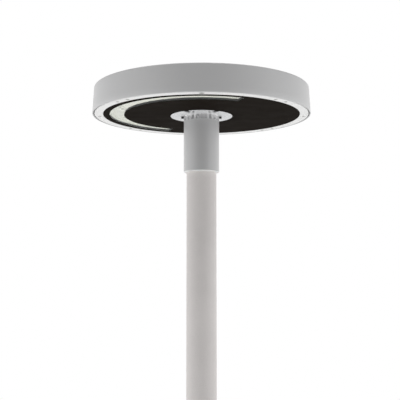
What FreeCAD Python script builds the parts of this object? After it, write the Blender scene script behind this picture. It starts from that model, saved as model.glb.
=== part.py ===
"""Street lamp post: a flat round LED lantern on a slim steel post, with a base plate and a service door.

The origin is the centre of the base plate's underside and +Z is up. The lantern's asymmetric optic is a
half ring whose middle lies at 202.5 degrees, counted from +X towards +Y. The service door faces -Y.
All lengths are in millimetres and all angles in degrees.
"""

import FreeCAD
import Part

import math
import os

Vector = FreeCAD.Vector

# ---------------------------------------------------------------- post
pole_top_height = 3120.0
pole_radius = 38.0
pole_wall = 3.0
pole_joint_height = 900.0
joint_weld_width = 8.0
joint_weld_height = 1.2
plate_side = 280.0
plate_thickness = 16.0
plate_corner_radius = 25.0
anchor_spacing = 200.0
anchor_hole_radius = 9.0
cable_entry_radius = 30.0
weld_leg = 6.0

# ---------------------------------------------------------------- service door and what is behind it
door_bottom = 500.0
door_height = 186.0
door_width = 45.0
door_corner_radius = 6.0
door_gap = 0.8
door_frame_thickness = 3.0
door_frame_overlap = 5.0
door_frame_relief = 0.3
tongue_width = 20.0
tongue_thickness = 2.0
tongue_drop = 12.0
lock_shaft_radius = 4.0
lock_head_radius = 6.5
lock_below_top = 16.0
lock_hole_clearance = 0.9
fuse_box_width = 38.0
fuse_box_depth = 24.0
fuse_box_height = 140.0
fuse_box_wall = 2.5
fuse_box_back = 22.0
fuse_cover_thickness = 2.5
rail_thickness = 3.0
rail_width = 24.0
gland_radius = 7.5
gland_length = 18.0
riser_radius = 5.0
riser_offset = 9.0

# ---------------------------------------------------------------- sleeve, neck and hub
sleeve_wall = 7.12
sleeve_length = 129.0
sleeve_running_clearance = 0.08
shoulder_thickness = 16.0
sleeve_seal_height = 2.5
collar_height = 13.0
collar_flutes = 21
flute_radius = 3.2
flute_depth = 1.8
neck_inset = 4.0
neck_bore = 20.0
hub_plate_overlap = 6.9
hub_plate_drop = 1.0
hub_seal_width = 2.0
hub_spigot_height = 20.0
hub_notch_width = 14.0
hub_notch_depth = 18.0
hub_notch_angle = 28.5
hub_small_screw_inset = 6.5
clamp_ring_width = 24.0
clamp_ring_thickness = 6.0

# ---------------------------------------------------------------- lantern
canopy_radius = 277.5
canopy_draft = 3.9
canopy_height = 67.0
canopy_wall = 2.9
canopy_crown = 3.0
canopy_edge_radius = 3.0
ledge_thickness = 3.0
ring_gap = 2.6
ring_width = 21.5
ring_ledge_width = 9.7
ring_ledge_thickness = 2.0
ring_screw_inset = 11.0
ring_screw_radius = 2.5
ring_screw_head_radius = 4.8
lock_screw_radius = 4.0
lock_screw_head_radius = 6.5
glass_thickness = 5.0
glass_recess = 0.4
glass_hole_radius = 72.0
print_thickness = 0.2
bond_thickness = 0.4
window_margin = 16.5
window_width = 36.4
window_start = 113.5
window_sweep = 181.5
tray_inset = 4.0
tray_thickness = 3.0
gasket_inset = 0.3
gasket_width = 4.0
gasket_height = 3.0

# ---------------------------------------------------------------- light engine and control gear
reflector_wall = 1.2
reflector_height = 28.0
reflector_top_width = 18.0
board_thickness = 1.6
led_count = 30
lens_radius = 5.0
sink_width = 22.0
sink_base = 3.8
roof_clearance = 9.3
fin_thickness = 2.0
sink_count = 3
fins_per_sink = 12
sink_end_gap = 0.4
driver_size = (60.0, 150.0, 36.0)
driver_from_hub = 103.0
driver_angle = 22.5
surge_size = (40.0, 50.0, 30.0)
surge_from_hub = 78.0
surge_angle = 80.0
terminal_size = (30.0, 70.0, 24.0)
terminal_from_hub = 58.0
terminal_angle = -40.0
lead_radius = 3.5

# ---------------------------------------------------------------- canopy hinge
hinge_standoff = 5.5
hinge_axis_rise = 5.0
knuckle_radius = 5.0
hinge_pin_radius = 2.5
hinge_running_clearance = 0.05
bracket_width = 56.0
leaf_width = 52.0
centre_knuckle_width = 20.0
knuckle_gap = 0.3

# ---------------------------------------------------------------- general fits
screw_clearance = 0.1
touching_gap = 0.3
seated_gap = 0.15
screw_recess = 0.2

# ---------------------------------------------------------------- radii worked out from the sizes above
pole_bore = pole_radius - pole_wall
sleeve_radius = pole_radius + sleeve_running_clearance + sleeve_wall
neck_radius = pole_radius - neck_inset
hub_spigot_radius = pole_radius
hub_boss_radius = glass_hole_radius - hub_seal_width
hub_plate_radius = glass_hole_radius + hub_plate_overlap
clamp_ring_radius = hub_spigot_radius + clamp_ring_width
hub_bolt_circle = (hub_spigot_radius + clamp_ring_radius) / 2
neck_bolt_circle = (neck_bore + hub_spigot_radius) / 2
canopy_top_radius = canopy_radius - canopy_draft
ring_outer_radius = canopy_radius - canopy_wall - ring_gap
ring_inner_radius = ring_outer_radius - ring_width
ring_screw_circle = ring_outer_radius - ring_screw_inset
tray_radius = ring_outer_radius - tray_inset
gasket_inner_radius = ring_inner_radius + gasket_inset
ledge_inner_radius = gasket_inner_radius - 0.5
window_outer_radius = ring_inner_radius - window_margin
window_inner_radius = window_outer_radius - window_width
window_middle_radius = (window_inner_radius + window_outer_radius) / 2
window_end = window_start + window_sweep
hinge_axis_y = canopy_radius + hinge_standoff
driver_place = (clamp_ring_radius + driver_from_hub, driver_angle)
surge_place = (clamp_ring_radius + surge_from_hub, surge_angle)
terminal_place = (clamp_ring_radius + terminal_from_hub, terminal_angle)

# ---------------------------------------------------------------- levels worked out from the sizes above
door_top = door_bottom + door_height
sleeve_top = pole_top_height + shoulder_thickness
sleeve_bottom = sleeve_top - sleeve_length
collar_top = sleeve_top + collar_height
underside = collar_top + hub_plate_drop
print_bottom = underside + glass_recess
glass_bottom = print_bottom + print_thickness
glass_top = glass_bottom + glass_thickness
ring_top = glass_top + bond_thickness + ring_ledge_thickness
tray_top = ring_top + tray_thickness
ledge_bottom = tray_top + gasket_height + touching_gap
ledge_top = ledge_bottom + ledge_thickness
roof_edge = underside + canopy_height
fuse_box_bottom = door_bottom + 10.0
fuse_box_top = fuse_box_bottom + fuse_box_height
spigot_top = underside + hub_spigot_height
hinge_axis_z = underside + hinge_axis_rise
fin_top = roof_edge - canopy_wall - roof_clearance
near_side = 270.0
far_side = 90.0


# ================================================================ helpers
def cylinder(radius, bottom, top, x=0.0, y=0.0):
    """Upright cylinder between two levels."""
    return Part.makeCylinder(radius, top - bottom, Vector(x, y, bottom))


def tube(outer_radius, inner_radius, bottom, top):
    """Upright tube about the post's axis."""
    return cylinder(outer_radius, bottom, top).cut(cylinder(inner_radius, bottom - 1, top + 1))


def block(x_low, x_high, y_low, y_high, z_low, z_high):
    """Box between two corners."""
    return Part.makeBox(x_high - x_low, y_high - y_low, z_high - z_low, Vector(x_low, y_low, z_low))


def rounded_block(x_half, y_low, y_high, z_low, z_high, corner):
    """Box centred on x = 0 whose edges along Y are rounded."""
    solid = block(-x_half, x_half, y_low, y_high, z_low, z_high)
    edges = [edge for edge in solid.Edges if edge_runs_along(edge, Vector(0, 1, 0))]
    return solid.makeFillet(corner, edges)


def edge_runs_along(edge, direction):
    """True for a straight edge parallel to the direction."""
    start = edge.Vertexes[0].Point
    end = edge.Vertexes[-1].Point
    run = end.sub(start)
    return run.Length > 1e-6 and run.cross(direction).Length < 1e-6 * run.Length


def turned(section, sweep=360.0, start=0.0):
    """Solid of revolution about Z from a closed list of (radius, height) points."""
    points = [Vector(radius, 0, height) for radius, height in section]
    face = Part.Face(Part.makePolygon(points + points[:1]))
    solid = face.revolve(Vector(0, 0, 0), Vector(0, 0, 1), sweep)
    solid.rotate(Vector(0, 0, 0), Vector(0, 0, 1), start)
    return solid


def place_at(solid, radius, angle):
    """Move a solid made at the origin out to a radius, then round to a polar angle."""
    moved = solid.copy()
    moved.translate(Vector(radius, 0, 0))
    moved.rotate(Vector(0, 0, 0), Vector(0, 0, 1), angle)
    return moved


def polar_point(radius, angle, height):
    """Point given by radius, polar angle and height."""
    turn = math.radians(angle)
    return Vector(radius * math.cos(turn), radius * math.sin(turn), height)


def joined(solids):
    """One solid out of several that touch or overlap."""
    return solids[0].multiFuse(solids[1:]).removeSplitter()


def rod_along(radius, start, direction, length):
    """Cylinder from a point along a direction."""
    return Part.makeCylinder(radius, length, start, direction)


def hexagon_prism(across_flats, bottom, top):
    """Upright hexagonal prism."""
    corner = across_flats / math.sqrt(3)
    points = [polar_point(corner, 60 * step, bottom) for step in range(7)]
    return Part.Face(Part.makePolygon(points)).extrude(Vector(0, 0, top - bottom))


def export(shape, node):
    """Write one node's STEP file."""
    shape.exportStep("parts/" + node + ".step")


def route(points):
    """Straight runs joined by tangent arcs as large as the shorter run allows."""
    edges = []
    last = points[0]
    for index in range(1, len(points) - 1):
        corner = points[index]
        back = points[index - 1].sub(corner)
        ahead = points[index + 1].sub(corner)
        shorter = min(back.Length, ahead.Length)
        inward = Vector(back).normalize()
        outward = Vector(ahead).normalize()
        half_turn = (math.pi - inward.getAngle(outward)) / 2
        reach = 0.45 * shorter
        bend = reach / math.tan(half_turn)
        middle = Vector(inward).add(outward).normalize()
        arc_start = corner.add(inward * reach)
        arc_end = corner.add(outward * reach)
        arc_middle = corner.add(middle * (bend / math.cos(half_turn) - bend))
        edges.append(Part.LineSegment(last, arc_start).toShape())
        edges.append(Part.Arc(arc_start, arc_middle, arc_end).toShape())
        last = arc_end
        print("bend radius", round(bend, 1))
    edges.append(Part.LineSegment(last, points[-1]).toShape())
    return Part.Wire(edges)


def cable(points, radius):
    """Round cable along a route."""
    path = route(points)
    first_run = points[1].sub(points[0])
    ring = Part.Wire(Part.makeCircle(radius, points[0], first_run))
    solid = path.makePipeShell([ring], True, False)
    full_volume = math.pi * radius ** 2 * path.Length
    print("cable volume over section times length", round(solid.Volume / full_volume, 4))
    return solid


# ================================================================ post
def base_plate():
    """Square plate with rounded corners, four anchor holes and the cable entry."""
    half = plate_side / 2
    plate = block(-half, half, -half, half, 0, plate_thickness)
    uprights = [edge for edge in plate.Edges if edge_runs_along(edge, Vector(0, 0, 1))]
    plate = plate.makeFillet(plate_corner_radius, uprights)
    plate = plate.cut(cylinder(cable_entry_radius, -1, plate_thickness + 1))
    offset = anchor_spacing / 2
    for x in (-offset, offset):
        for y in (-offset, offset):
            plate = plate.cut(cylinder(anchor_hole_radius, -1, plate_thickness + 1, x, y))
    return plate


def base_weld():
    """Fillet weld round the foot of the pole."""
    return turned([(pole_radius, plate_thickness),
                   (pole_radius + weld_leg, plate_thickness),
                   (pole_radius, plate_thickness + weld_leg)])


def pole_base():
    """Lower steel tube with the door opening cut in its -Y side."""
    solid = tube(pole_radius, pole_bore, plate_thickness, pole_joint_height)
    opening = rounded_block(door_width / 2, -pole_radius - 5, -5, door_bottom, door_top, door_corner_radius)
    return solid.cut(opening)


def pole_shaft():
    """Upper steel tube, butted on the lower one and open at its top."""
    return tube(pole_radius, pole_bore, pole_joint_height, pole_top_height)


def joint_weld():
    """Low weld bead round the butt joint between the two tubes."""
    half = joint_weld_width / 2
    return turned([(pole_radius, pole_joint_height - half),
                   (pole_radius + 0.8 * joint_weld_height, pole_joint_height - half / 2),
                   (pole_radius + joint_weld_height, pole_joint_height),
                   (pole_radius + 0.8 * joint_weld_height, pole_joint_height + half / 2),
                   (pole_radius, pole_joint_height + half)])


def door_frame():
    """Inverted U of rolled strip inside the opening, which the door's edges rest against."""
    inner = pole_bore - door_frame_thickness
    outside = door_width / 2 + door_frame_overlap + 2
    top = door_top + 2 * door_frame_overlap
    strip = tube(pole_bore - seated_gap, inner, door_bottom, top)
    strip = strip.common(block(-outside, outside, -pole_radius, 0, door_bottom, top))
    clear_half = door_width / 2 - door_frame_overlap
    clear_top = door_top - door_frame_overlap
    strip = strip.cut(block(-clear_half, clear_half, -pole_radius, 0, door_bottom - 1, clear_top))
    relief = tube(pole_radius, pole_bore - door_frame_relief, door_bottom - 1, door_top)
    relief = relief.common(block(-door_width / 2, door_width / 2, -pole_radius, 0, door_bottom - 1, door_top))
    return strip.cut(relief)


def lock_bracket():
    """Block under the top of the frame with the clearance hole for the lock's shaft."""
    back = -pole_bore + door_frame_thickness + 8
    top = door_top + door_frame_overlap
    solid = block(-12, 12, -pole_bore, back, door_top - lock_below_top - 10, top)
    solid = solid.common(cylinder(pole_bore - door_frame_thickness - seated_gap, door_bottom, top + 10))
    hole = rod_along(lock_shaft_radius + lock_hole_clearance, lock_point(0), Vector(0, 1, 0), pole_radius)
    return solid.cut(hole)


def lock_point(depth):
    """Point on the lock's axis, counted inwards from the pole's outer face."""
    return Vector(0, -pole_radius + depth, door_top - lock_below_top)


def earth_stud():
    """Earthing stud on the pole's inner wall, with its washer and nut."""
    height = door_bottom + 70
    direction = Vector(-1, 0, 0)
    stud = rod_along(4, Vector(pole_bore, -4, height), direction, 14)
    washer = rod_along(8, Vector(pole_bore - 7, -4, height), direction, 1.6)
    nut = rod_along(6.5, Vector(pole_bore - 8.6, -4, height), direction, 5)
    solid = joined([stud, washer, nut])
    return solid.common(cylinder(pole_bore - seated_gap, height - 20, height + 20))


def fuse_rail():
    """Flat rail standing off the back of the pole on two feet."""
    low = door_bottom - 15
    high = fuse_box_top + 25
    back = fuse_box_back + rail_thickness
    rail = block(-rail_width / 2, rail_width / 2, fuse_box_back, back, low, high)
    feet = []
    for level in (low + 4, high - 16):
        foot = block(-10, 10, back, pole_bore + 2, level, level + 12)
        feet.append(foot.common(cylinder(pole_bore - seated_gap, level - 1, level + 13)))
    return joined([rail] + feet)


def fuse_box_front():
    """Y position of the fuse box's open face."""
    return fuse_box_back - fuse_box_depth


def fuse_box():
    """Insulated box open to the front, with holes for its three glands."""
    half = fuse_box_width / 2
    outer = rounded_block(half, fuse_box_front(), fuse_box_back, fuse_box_bottom, fuse_box_top, 4)
    inner = rounded_block(half - fuse_box_wall, fuse_box_front() - 1, fuse_box_back - fuse_box_wall,
                          fuse_box_bottom + fuse_box_wall, fuse_box_top - fuse_box_wall, 2)
    solid = outer.cut(inner)
    for x, y, bottom in gland_places():
        solid = solid.cut(cylinder(5.5, bottom - 30, bottom + 30, x, y).common(
            block(-half, half, -pole_bore, fuse_box_back - fuse_box_wall,
                  bottom - 4, bottom + gland_length + 4)))
    return solid


def gland_places():
    """(x, y, bottom) of each gland: two for the supply below, one for the riser above."""
    low = fuse_box_bottom - gland_length + 6
    high = fuse_box_top - 6
    return [(-9.5, riser_offset, low), (9.5, riser_offset, low), (0.0, riser_offset, high)]


def fuse_glands():
    """Cable glands: a clamping nut outside the box and a threaded stub through its wall."""
    glands = []
    for x, y, bottom in gland_places():
        above = bottom > fuse_box_bottom
        stub = cylinder(5.4, bottom, bottom + gland_length, x, y)
        if above:
            nut = cylinder(gland_radius, fuse_box_top, bottom + gland_length, x, y)
        else:
            nut = cylinder(gland_radius, bottom, fuse_box_bottom, x, y)
        bore = cylinder(riser_radius + screw_clearance, bottom - 1, bottom + gland_length + 1, x, y)
        glands.append(joined([stub, nut]).cut(bore))
    return Part.makeCompound(glands)


def fuse_box_cover():
    """Flat cover over the fuse box's open face."""
    front = fuse_box_front() - fuse_cover_thickness
    cover = rounded_block(fuse_box_width / 2, front, fuse_box_front(), fuse_box_bottom, fuse_box_top, 4)
    for level in cover_screw_levels():
        cover = cover.cut(rod_along(1.6, Vector(0, front - 1, level), Vector(0, 1, 0), 8))
    return cover


def cover_screw_levels():
    """Heights of the cover's two screws."""
    return (fuse_box_bottom + 1.3, fuse_box_top - 1.3)


def fuse_box_screws():
    """Two small screws whose heads sit on the cover."""
    screws = []
    front = fuse_box_front() - fuse_cover_thickness
    for level in cover_screw_levels():
        inward = 1 if level < fuse_box_top - 20 else -1
        head = rod_along(2.6, Vector(0, front - 1.6, level + inward * 1.4), Vector(0, 1, 0), 1.6)
        shaft = rod_along(1.5, Vector(0, front - 0.2, level), Vector(0, 1, 0), fuse_cover_thickness)
        screws.append(joined([head, shaft]))
    return Part.makeCompound(screws)


def fuse_terminals():
    """Four-way terminal block on the box's back wall."""
    back = fuse_box_back - fuse_box_wall
    level = fuse_box_bottom + 16
    body = block(-14, 14, back - 13, back, level, level + 44)
    for row in range(4):
        for x in (-7, 7):
            clamp = Vector(x, back - 14, level + 6.5 + 10.5 * row)
            body = body.cut(rod_along(2.6, clamp, Vector(0, 1, 0), 6))
    return body


def fuse_carrier():
    """Pull-out fuse carrier with its grip."""
    back = fuse_box_back - fuse_box_wall
    level = fuse_box_bottom + 74
    body = block(-8, 8, back - 14, back, level, level + 46)
    grip = block(-5, 5, back - 18, back - 13, level + 14, level + 32)
    return joined([body, grip])


def riser_cable():
    """Cable from the fuse box up the middle of the post to the lantern's gland."""
    start = fuse_box_top - 4
    end = spigot_top + 6
    points = [Vector(0, riser_offset, start), Vector(0, riser_offset, start + 150),
              Vector(0, 0, start + 350), Vector(0, 0, end)]
    return cable(points, riser_radius)


# ================================================================ service door
def door_panel():
    """Piece of the pole's own curve that closes the opening, flush with the pole."""
    half = door_width / 2 - door_gap
    low = door_bottom + door_gap
    high = door_top - door_gap
    shell = tube(pole_radius, pole_bore, low - 2, high + 2)
    panel = shell.common(rounded_block(half, -pole_radius - 5, -5, low, high, door_corner_radius - door_gap))
    pocket = rod_along(lock_head_radius + 0.5, lock_point(-5), Vector(0, 1, 0), 5 + lock_head_seat())
    hole = rod_along(lock_shaft_radius + screw_clearance, lock_point(-5), Vector(0, 1, 0), 20)
    return panel.cut(pocket).cut(hole)


def lock_head_seat():
    """Depth of the lock's seat below the pole's outer face."""
    return 0.4 * pole_wall


def door_tongue():
    """Tongue on the door's back that hooks behind the pole below the opening."""
    half = tongue_width / 2
    outer_face = -math.sqrt(pole_bore ** 2 - half ** 2) + 0.5
    inner_face = outer_face + tongue_thickness
    strip = block(-half, half, outer_face, inner_face, door_bottom - tongue_drop, door_bottom + 20)
    foot = block(-half, half, -pole_bore - 1, inner_face, door_bottom + 2, door_bottom + 20)
    foot = foot.common(cylinder(pole_bore - screw_clearance, door_bottom, door_bottom + 30))
    return joined([strip, foot])


def door_lock():
    """Lock screw: a round head with a triangular drive and a plain shaft."""
    seat = lock_head_seat()
    head = rod_along(lock_head_radius, lock_point(seat - 2.5), Vector(0, 1, 0), 2.5)
    shaft = rod_along(lock_shaft_radius, lock_point(seat - 1), Vector(0, 1, 0), 16)
    corners = []
    for step in range(4):
        turn = math.radians(90 + 120 * step)
        corners.append(lock_point(seat - 3).add(Vector(4 * math.cos(turn), 0, 4 * math.sin(turn))))
    drive = Part.Face(Part.makePolygon(corners)).extrude(Vector(0, 2, 0))
    return joined([head, shaft]).cut(drive)


# ================================================================ sleeve, neck and hub
def sleeve():
    """Sleeve that slips over the pole's top, with a thick shoulder that rests on it."""
    bore = pole_radius + sleeve_running_clearance
    section = [(bore, sleeve_bottom), (sleeve_radius, sleeve_bottom), (sleeve_radius, sleeve_top),
               (neck_bore, sleeve_top), (neck_bore, pole_top_height), (bore, pole_top_height)]
    solid = turned(section)
    for angle, level in set_screw_places():
        hole = rod_along(4 + screw_clearance, polar_point(pole_radius - 8, angle, level),
                         polar_point(1, angle, 0), sleeve_radius)
        solid = solid.cut(hole)
    for angle in neck_bolt_angles():
        hole = cylinder(3 + screw_clearance, pole_top_height + 3, sleeve_top + 1)
        solid = solid.cut(place_at(hole, neck_bolt_circle, angle))
    return solid


def set_screw_places():
    """(angle, height) of each set screw in the sleeve's far half."""
    places = []
    for angle in (far_side - 30, far_side + 30):
        for drop in (45.0, 95.0):
            places.append((angle, sleeve_top - drop))
    return places


def set_screws():
    """Socket set screws that clamp the sleeve to the pole."""
    screws = []
    start = pole_radius + 2 * sleeve_running_clearance
    length = sleeve_radius - start - 0.8
    for angle, level in set_screw_places():
        outward = polar_point(1, angle, 0)
        screw = rod_along(4, polar_point(start, angle, level), outward, length)
        socket = rod_along(2, polar_point(start + length - 3, angle, level), outward, 5)
        screws.append(screw.cut(socket))
    return Part.makeCompound(screws)


def sleeve_seal():
    """Light sealing ring under the sleeve's lower edge."""
    inner = pole_radius + sleeve_running_clearance
    bottom = sleeve_bottom - sleeve_seal_height
    outer = sleeve_radius - 0.4
    section = [(inner, bottom), (outer - 1.2, bottom), (outer, bottom + 1.2), (outer, sleeve_bottom),
               (inner, sleeve_bottom)]
    return turned(section)


def neck_collar():
    """Fluted collar between the sleeve and the hub plate."""
    ring = tube(sleeve_radius, neck_radius + screw_clearance, sleeve_top, collar_top)
    cutters = []
    for step in range(collar_flutes):
        angle = near_side + (step + 0.5) * 360.0 / collar_flutes
        flute = cylinder(flute_radius, sleeve_top - 1, collar_top + 1)
        cutters.append(place_at(flute, sleeve_radius + flute_radius - flute_depth, angle))
    return ring.cut(Part.makeCompound(cutters))


def neck_bolt_angles():
    """Angles of the four bolts that hold the hub casting on the sleeve."""
    return [0.0, 90.0, 180.0, 270.0]


def hub_bolt_angles():
    """Angles of the four bolts that hold the tray between the hub and its clamp ring."""
    return [45.0, 135.0, 225.0, 315.0]


def hub_notch_angles():
    """Angles of the four edge notches, two each side of the near and far directions."""
    return [near_side - hub_notch_angle, near_side + hub_notch_angle,
            far_side - hub_notch_angle, far_side + hub_notch_angle]


def hub_notches(bottom, top):
    """Round-ended cutters for the notches, open at the plate's edge."""
    cutters = []
    half = hub_notch_width / 2
    centre = hub_plate_radius - hub_notch_depth + half
    for angle in hub_notch_angles():
        round_end = cylinder(half, bottom, top, centre, 0)
        open_end = block(centre, hub_plate_radius + 5, -half, half, bottom, top)
        cutter = joined([round_end, open_end])
        cutter.rotate(Vector(0, 0, 0), Vector(0, 0, 1), angle)
        cutters.append(cutter)
    return Part.makeCompound(cutters)


def hub_casting():
    """Neck, boss below the tray and spigot through the tray, in one casting."""
    boss_bottom = print_bottom
    section = [(neck_bore, sleeve_top), (neck_radius, sleeve_top), (neck_radius, boss_bottom),
               (hub_boss_radius, boss_bottom), (hub_boss_radius, ring_top), (hub_spigot_radius, ring_top),
               (hub_spigot_radius, spigot_top), (neck_bore, spigot_top)]
    solid = turned(section)
    solid = solid.cut(hub_notches(boss_bottom - 1, ring_top - 1))
    for angle in neck_bolt_angles():
        hole = cylinder(3 + screw_clearance, sleeve_top - 1, spigot_top + 1)
        solid = solid.cut(place_at(hole, neck_bolt_circle, angle))
    for angle in hub_bolt_angles():
        hole = cylinder(3 + screw_clearance, boss_bottom + 2, ring_top + 1)
        solid = solid.cut(place_at(hole, hub_bolt_circle, angle))
    for radius, angle, shaft, head in hub_screw_places():
        hole = cylinder(shaft + screw_clearance, boss_bottom - 1, ring_top - 2)
        solid = solid.cut(place_at(hole, radius, angle))
    return solid


def hub_plate():
    """Thin round plate that covers the glass's centre hole."""
    bottom = collar_top
    top = print_bottom
    plate = tube(hub_plate_radius, neck_radius + screw_clearance, bottom, top)
    edge = [item for item in plate.Edges
            if item.BoundBox.ZMax < bottom + 0.01 and item.BoundBox.XMax > hub_plate_radius - 1]
    plate = plate.makeChamfer(0.5, edge)
    plate = plate.cut(hub_notches(bottom - 1, top + 1))
    for radius, angle, shaft, head in hub_screw_places():
        plate = plate.cut(place_at(cylinder(shaft + screw_clearance, bottom - 1, top + 1), radius, angle))
    return plate


def hub_screw_places():
    """(radius, angle, shaft radius, head radius) of the screws that hold the hub plate."""
    beside_neck = sleeve_radius + 3.4
    places = [(beside_neck, 0.0, 2.0, 3.2), (beside_neck, 180.0, 2.0, 3.2)]
    edge = glass_hole_radius - hub_small_screw_inset
    for angle in (near_side - 17.8, near_side + 17.8, far_side - 17.8, far_side + 17.8):
        places.append((edge, angle, 1.5, 2.8))
    return places


def hub_screws():
    """Two tall socket screws beside the neck and four small low ones."""
    screws = []
    for radius, angle, shaft, head in hub_screw_places():
        height = 5.0 if shaft > 1.8 else 1.2
        screw = joined([cylinder(head, collar_top - height, collar_top),
                        cylinder(shaft, collar_top - 0.5, ring_top - 3)])
        socket = hexagon_prism(head * 0.9, collar_top - height - 1, collar_top - height / 2)
        screws.append(place_at(screw.cut(socket), radius, angle))
    return Part.makeCompound(screws)


def hub_clamp_ring():
    """Ring that clamps the tray down on the hub's boss."""
    inner = hub_spigot_radius + screw_clearance
    ring = tube(clamp_ring_radius, inner, tray_top, tray_top + clamp_ring_thickness)
    for angle in hub_bolt_angles():
        hole = cylinder(3 + screw_clearance, tray_top - 1, tray_top + 20)
        ring = ring.cut(place_at(hole, hub_bolt_circle, angle))
    return ring


def bolt(shaft_radius, head_radius, bottom, seat, head_height):
    """Hexagon-head bolt standing on its seat, pointing down."""
    head = hexagon_prism(head_radius * 2, seat, seat + head_height)
    return joined([head, cylinder(shaft_radius, bottom, seat + 1)])


def hub_bolts():
    """Bolts through the clamp ring and tray into the boss."""
    seat = tray_top + clamp_ring_thickness
    solid = bolt(3, 5, underside + 3, seat, 4)
    return Part.makeCompound([place_at(solid, hub_bolt_circle, angle) for angle in hub_bolt_angles()])


def neck_bolts():
    """Bolts down through the hub casting into the sleeve's shoulder."""
    solid = bolt(3, 5, pole_top_height + 4, spigot_top, 4)
    return Part.makeCompound([place_at(solid, neck_bolt_circle, angle) for angle in neck_bolt_angles()])


def riser_gland():
    """Gland in the top of the spigot that the riser comes up through."""
    flange = cylinder(neck_bore - screw_clearance, spigot_top - 8, spigot_top)
    nut = hexagon_prism(28, spigot_top, spigot_top + 6)
    dome = Part.makeCone(12, 9, 7, Vector(0, 0, spigot_top + 6))
    bore = cylinder(riser_radius + touching_gap, spigot_top - 9, spigot_top + 14)
    return joined([flange, nut, dome]).cut(bore)


# ================================================================ lantern underside
def ring_screw_angles():
    """Angles of the ring's ordinary screws: three singles and four pairs."""
    angles = [0.0, 90.0, 180.0]
    for middle in (45.0, 135.0, 225.0, 315.0):
        angles += [middle - 4.0, middle + 4.0]
    return angles


def trim_ring():
    """Flat ring that frames the glass, with an inner ledge above it and countersunk holes."""
    ledge_radius = ring_inner_radius - ring_ledge_width
    ledge_bottom_z = ring_top - ring_ledge_thickness
    edge = 0.5
    section = [(ring_inner_radius + edge, underside), (ring_outer_radius - edge, underside),
               (ring_outer_radius, underside + edge), (ring_outer_radius, ring_top), (ledge_radius, ring_top),
               (ledge_radius, ledge_bottom_z), (ring_inner_radius, ledge_bottom_z),
               (ring_inner_radius, underside + edge)]
    solid = turned(section)
    cutters = []
    for angle in ring_screw_angles():
        cutters.append(place_at(countersunk_hole(), ring_screw_circle, angle))
    cutters.append(place_at(lock_screw_hole(), ring_screw_circle, near_side))
    return solid.cut(Part.makeCompound(cutters))


def countersunk_hole():
    """Cutter for one countersunk ring screw, made at the origin."""
    head = ring_screw_head_radius + screw_clearance
    hole = ring_screw_radius + screw_clearance
    mouth = underside + screw_recess + screw_clearance
    cone = Part.makeCone(head, hole, head - hole, Vector(0, 0, mouth))
    return joined([cone, cylinder(hole, underside - 1, ring_top + 1), cylinder(head, underside - 1, mouth)])


def lock_screw_hole():
    """Cutter for the canopy lock screw's stepped hole, made at the origin."""
    head = lock_screw_head_radius + screw_clearance
    return joined([cylinder(head, underside - 1, underside + 4),
                   cylinder(lock_screw_radius + screw_clearance, underside, ring_top + 1)])


def ring_screws():
    """Countersunk screws through the ring into the tray."""
    head = ring_screw_head_radius
    bottom = underside + screw_recess
    cone = Part.makeCone(head, ring_screw_radius, head - ring_screw_radius, Vector(0, 0, bottom))
    screw = joined([cone, cylinder(ring_screw_radius, bottom + 1, tray_top)])
    screw = screw.cut(hexagon_prism(4, underside - 1, underside + 1.6))
    return Part.makeCompound([place_at(screw, ring_screw_circle, angle) for angle in ring_screw_angles()])


def canopy_lock_screw():
    """Larger captive screw on the near side that locks the canopy."""
    head = cylinder(lock_screw_head_radius, underside + screw_recess, underside + 4)
    shaft = cylinder(lock_screw_radius, underside + 3, ledge_top + 9)
    solid = joined([head, shaft]).cut(hexagon_prism(6, underside - 1, underside + 3))
    return place_at(solid, ring_screw_circle, near_side)


def cover_glass():
    """Flat glass disc with a centre hole."""
    return tube(ring_inner_radius - 0.5, glass_hole_radius, glass_bottom, glass_top)


def window_section(inner, outer, bottom, top, end_margin):
    """Half-ring cutter over the window, widened at its ends by a margin in degrees."""
    section = [(inner, bottom), (outer, bottom), (outer, top), (inner, top)]
    return turned(section, window_sweep + 2 * end_margin, window_start - end_margin)


def glass_print():
    """Opaque printed layer on the glass's lower face, with the half-ring window left clear."""
    layer = tube(ring_inner_radius - 0.5, glass_hole_radius, print_bottom, glass_bottom)
    window = window_section(window_inner_radius, window_outer_radius, print_bottom - 1, glass_bottom + 1, 0)
    return layer.cut(window)


def glass_bond():
    """Silicone bead between the glass and the ring's ledge."""
    outer = ring_inner_radius - 1
    return tube(outer, ring_inner_radius - ring_ledge_width + 1, glass_top, ring_top - ring_ledge_thickness)


def hub_seal():
    """Rubber ring between the glass's hole and the hub's boss."""
    return tube(glass_hole_radius - seated_gap, hub_boss_radius + seated_gap, print_bottom, glass_top)


def base_tray():
    """Aluminium tray that carries everything in the lantern."""
    tray = tube(tray_radius, hub_spigot_radius + screw_clearance, ring_top, tray_top)
    inner, outer = reflector_reach()
    margin = reflector_end_margin() + 0.2
    tray = tray.cut(window_section(inner - 0.3, outer + 0.3, ring_top - 1, tray_top + 1, margin))
    for angle in ring_screw_angles():
        tray = tray.cut(place_at(cylinder(ring_screw_radius + screw_clearance, ring_top - 1, tray_top + 1),
                                 ring_screw_circle, angle))
    tray = tray.cut(place_at(cylinder(lock_screw_radius + screw_clearance, ring_top - 1, tray_top + 1),
                             ring_screw_circle, near_side))
    for angle in hub_bolt_angles():
        hole = cylinder(3 + screw_clearance, ring_top - 1, tray_top + 1)
        tray = tray.cut(place_at(hole, hub_bolt_circle, angle))
    half = bracket_width / 2
    return tray.cut(block(-half, half, bracket_start(), tray_radius + 5, ring_top - 1, tray_top + 1))


def canopy_gasket():
    """Square-section seal on the tray that the canopy's ledge closes on."""
    outer = gasket_inner_radius + gasket_width
    return tube(outer, gasket_inner_radius, tray_top, tray_top + gasket_height)


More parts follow.
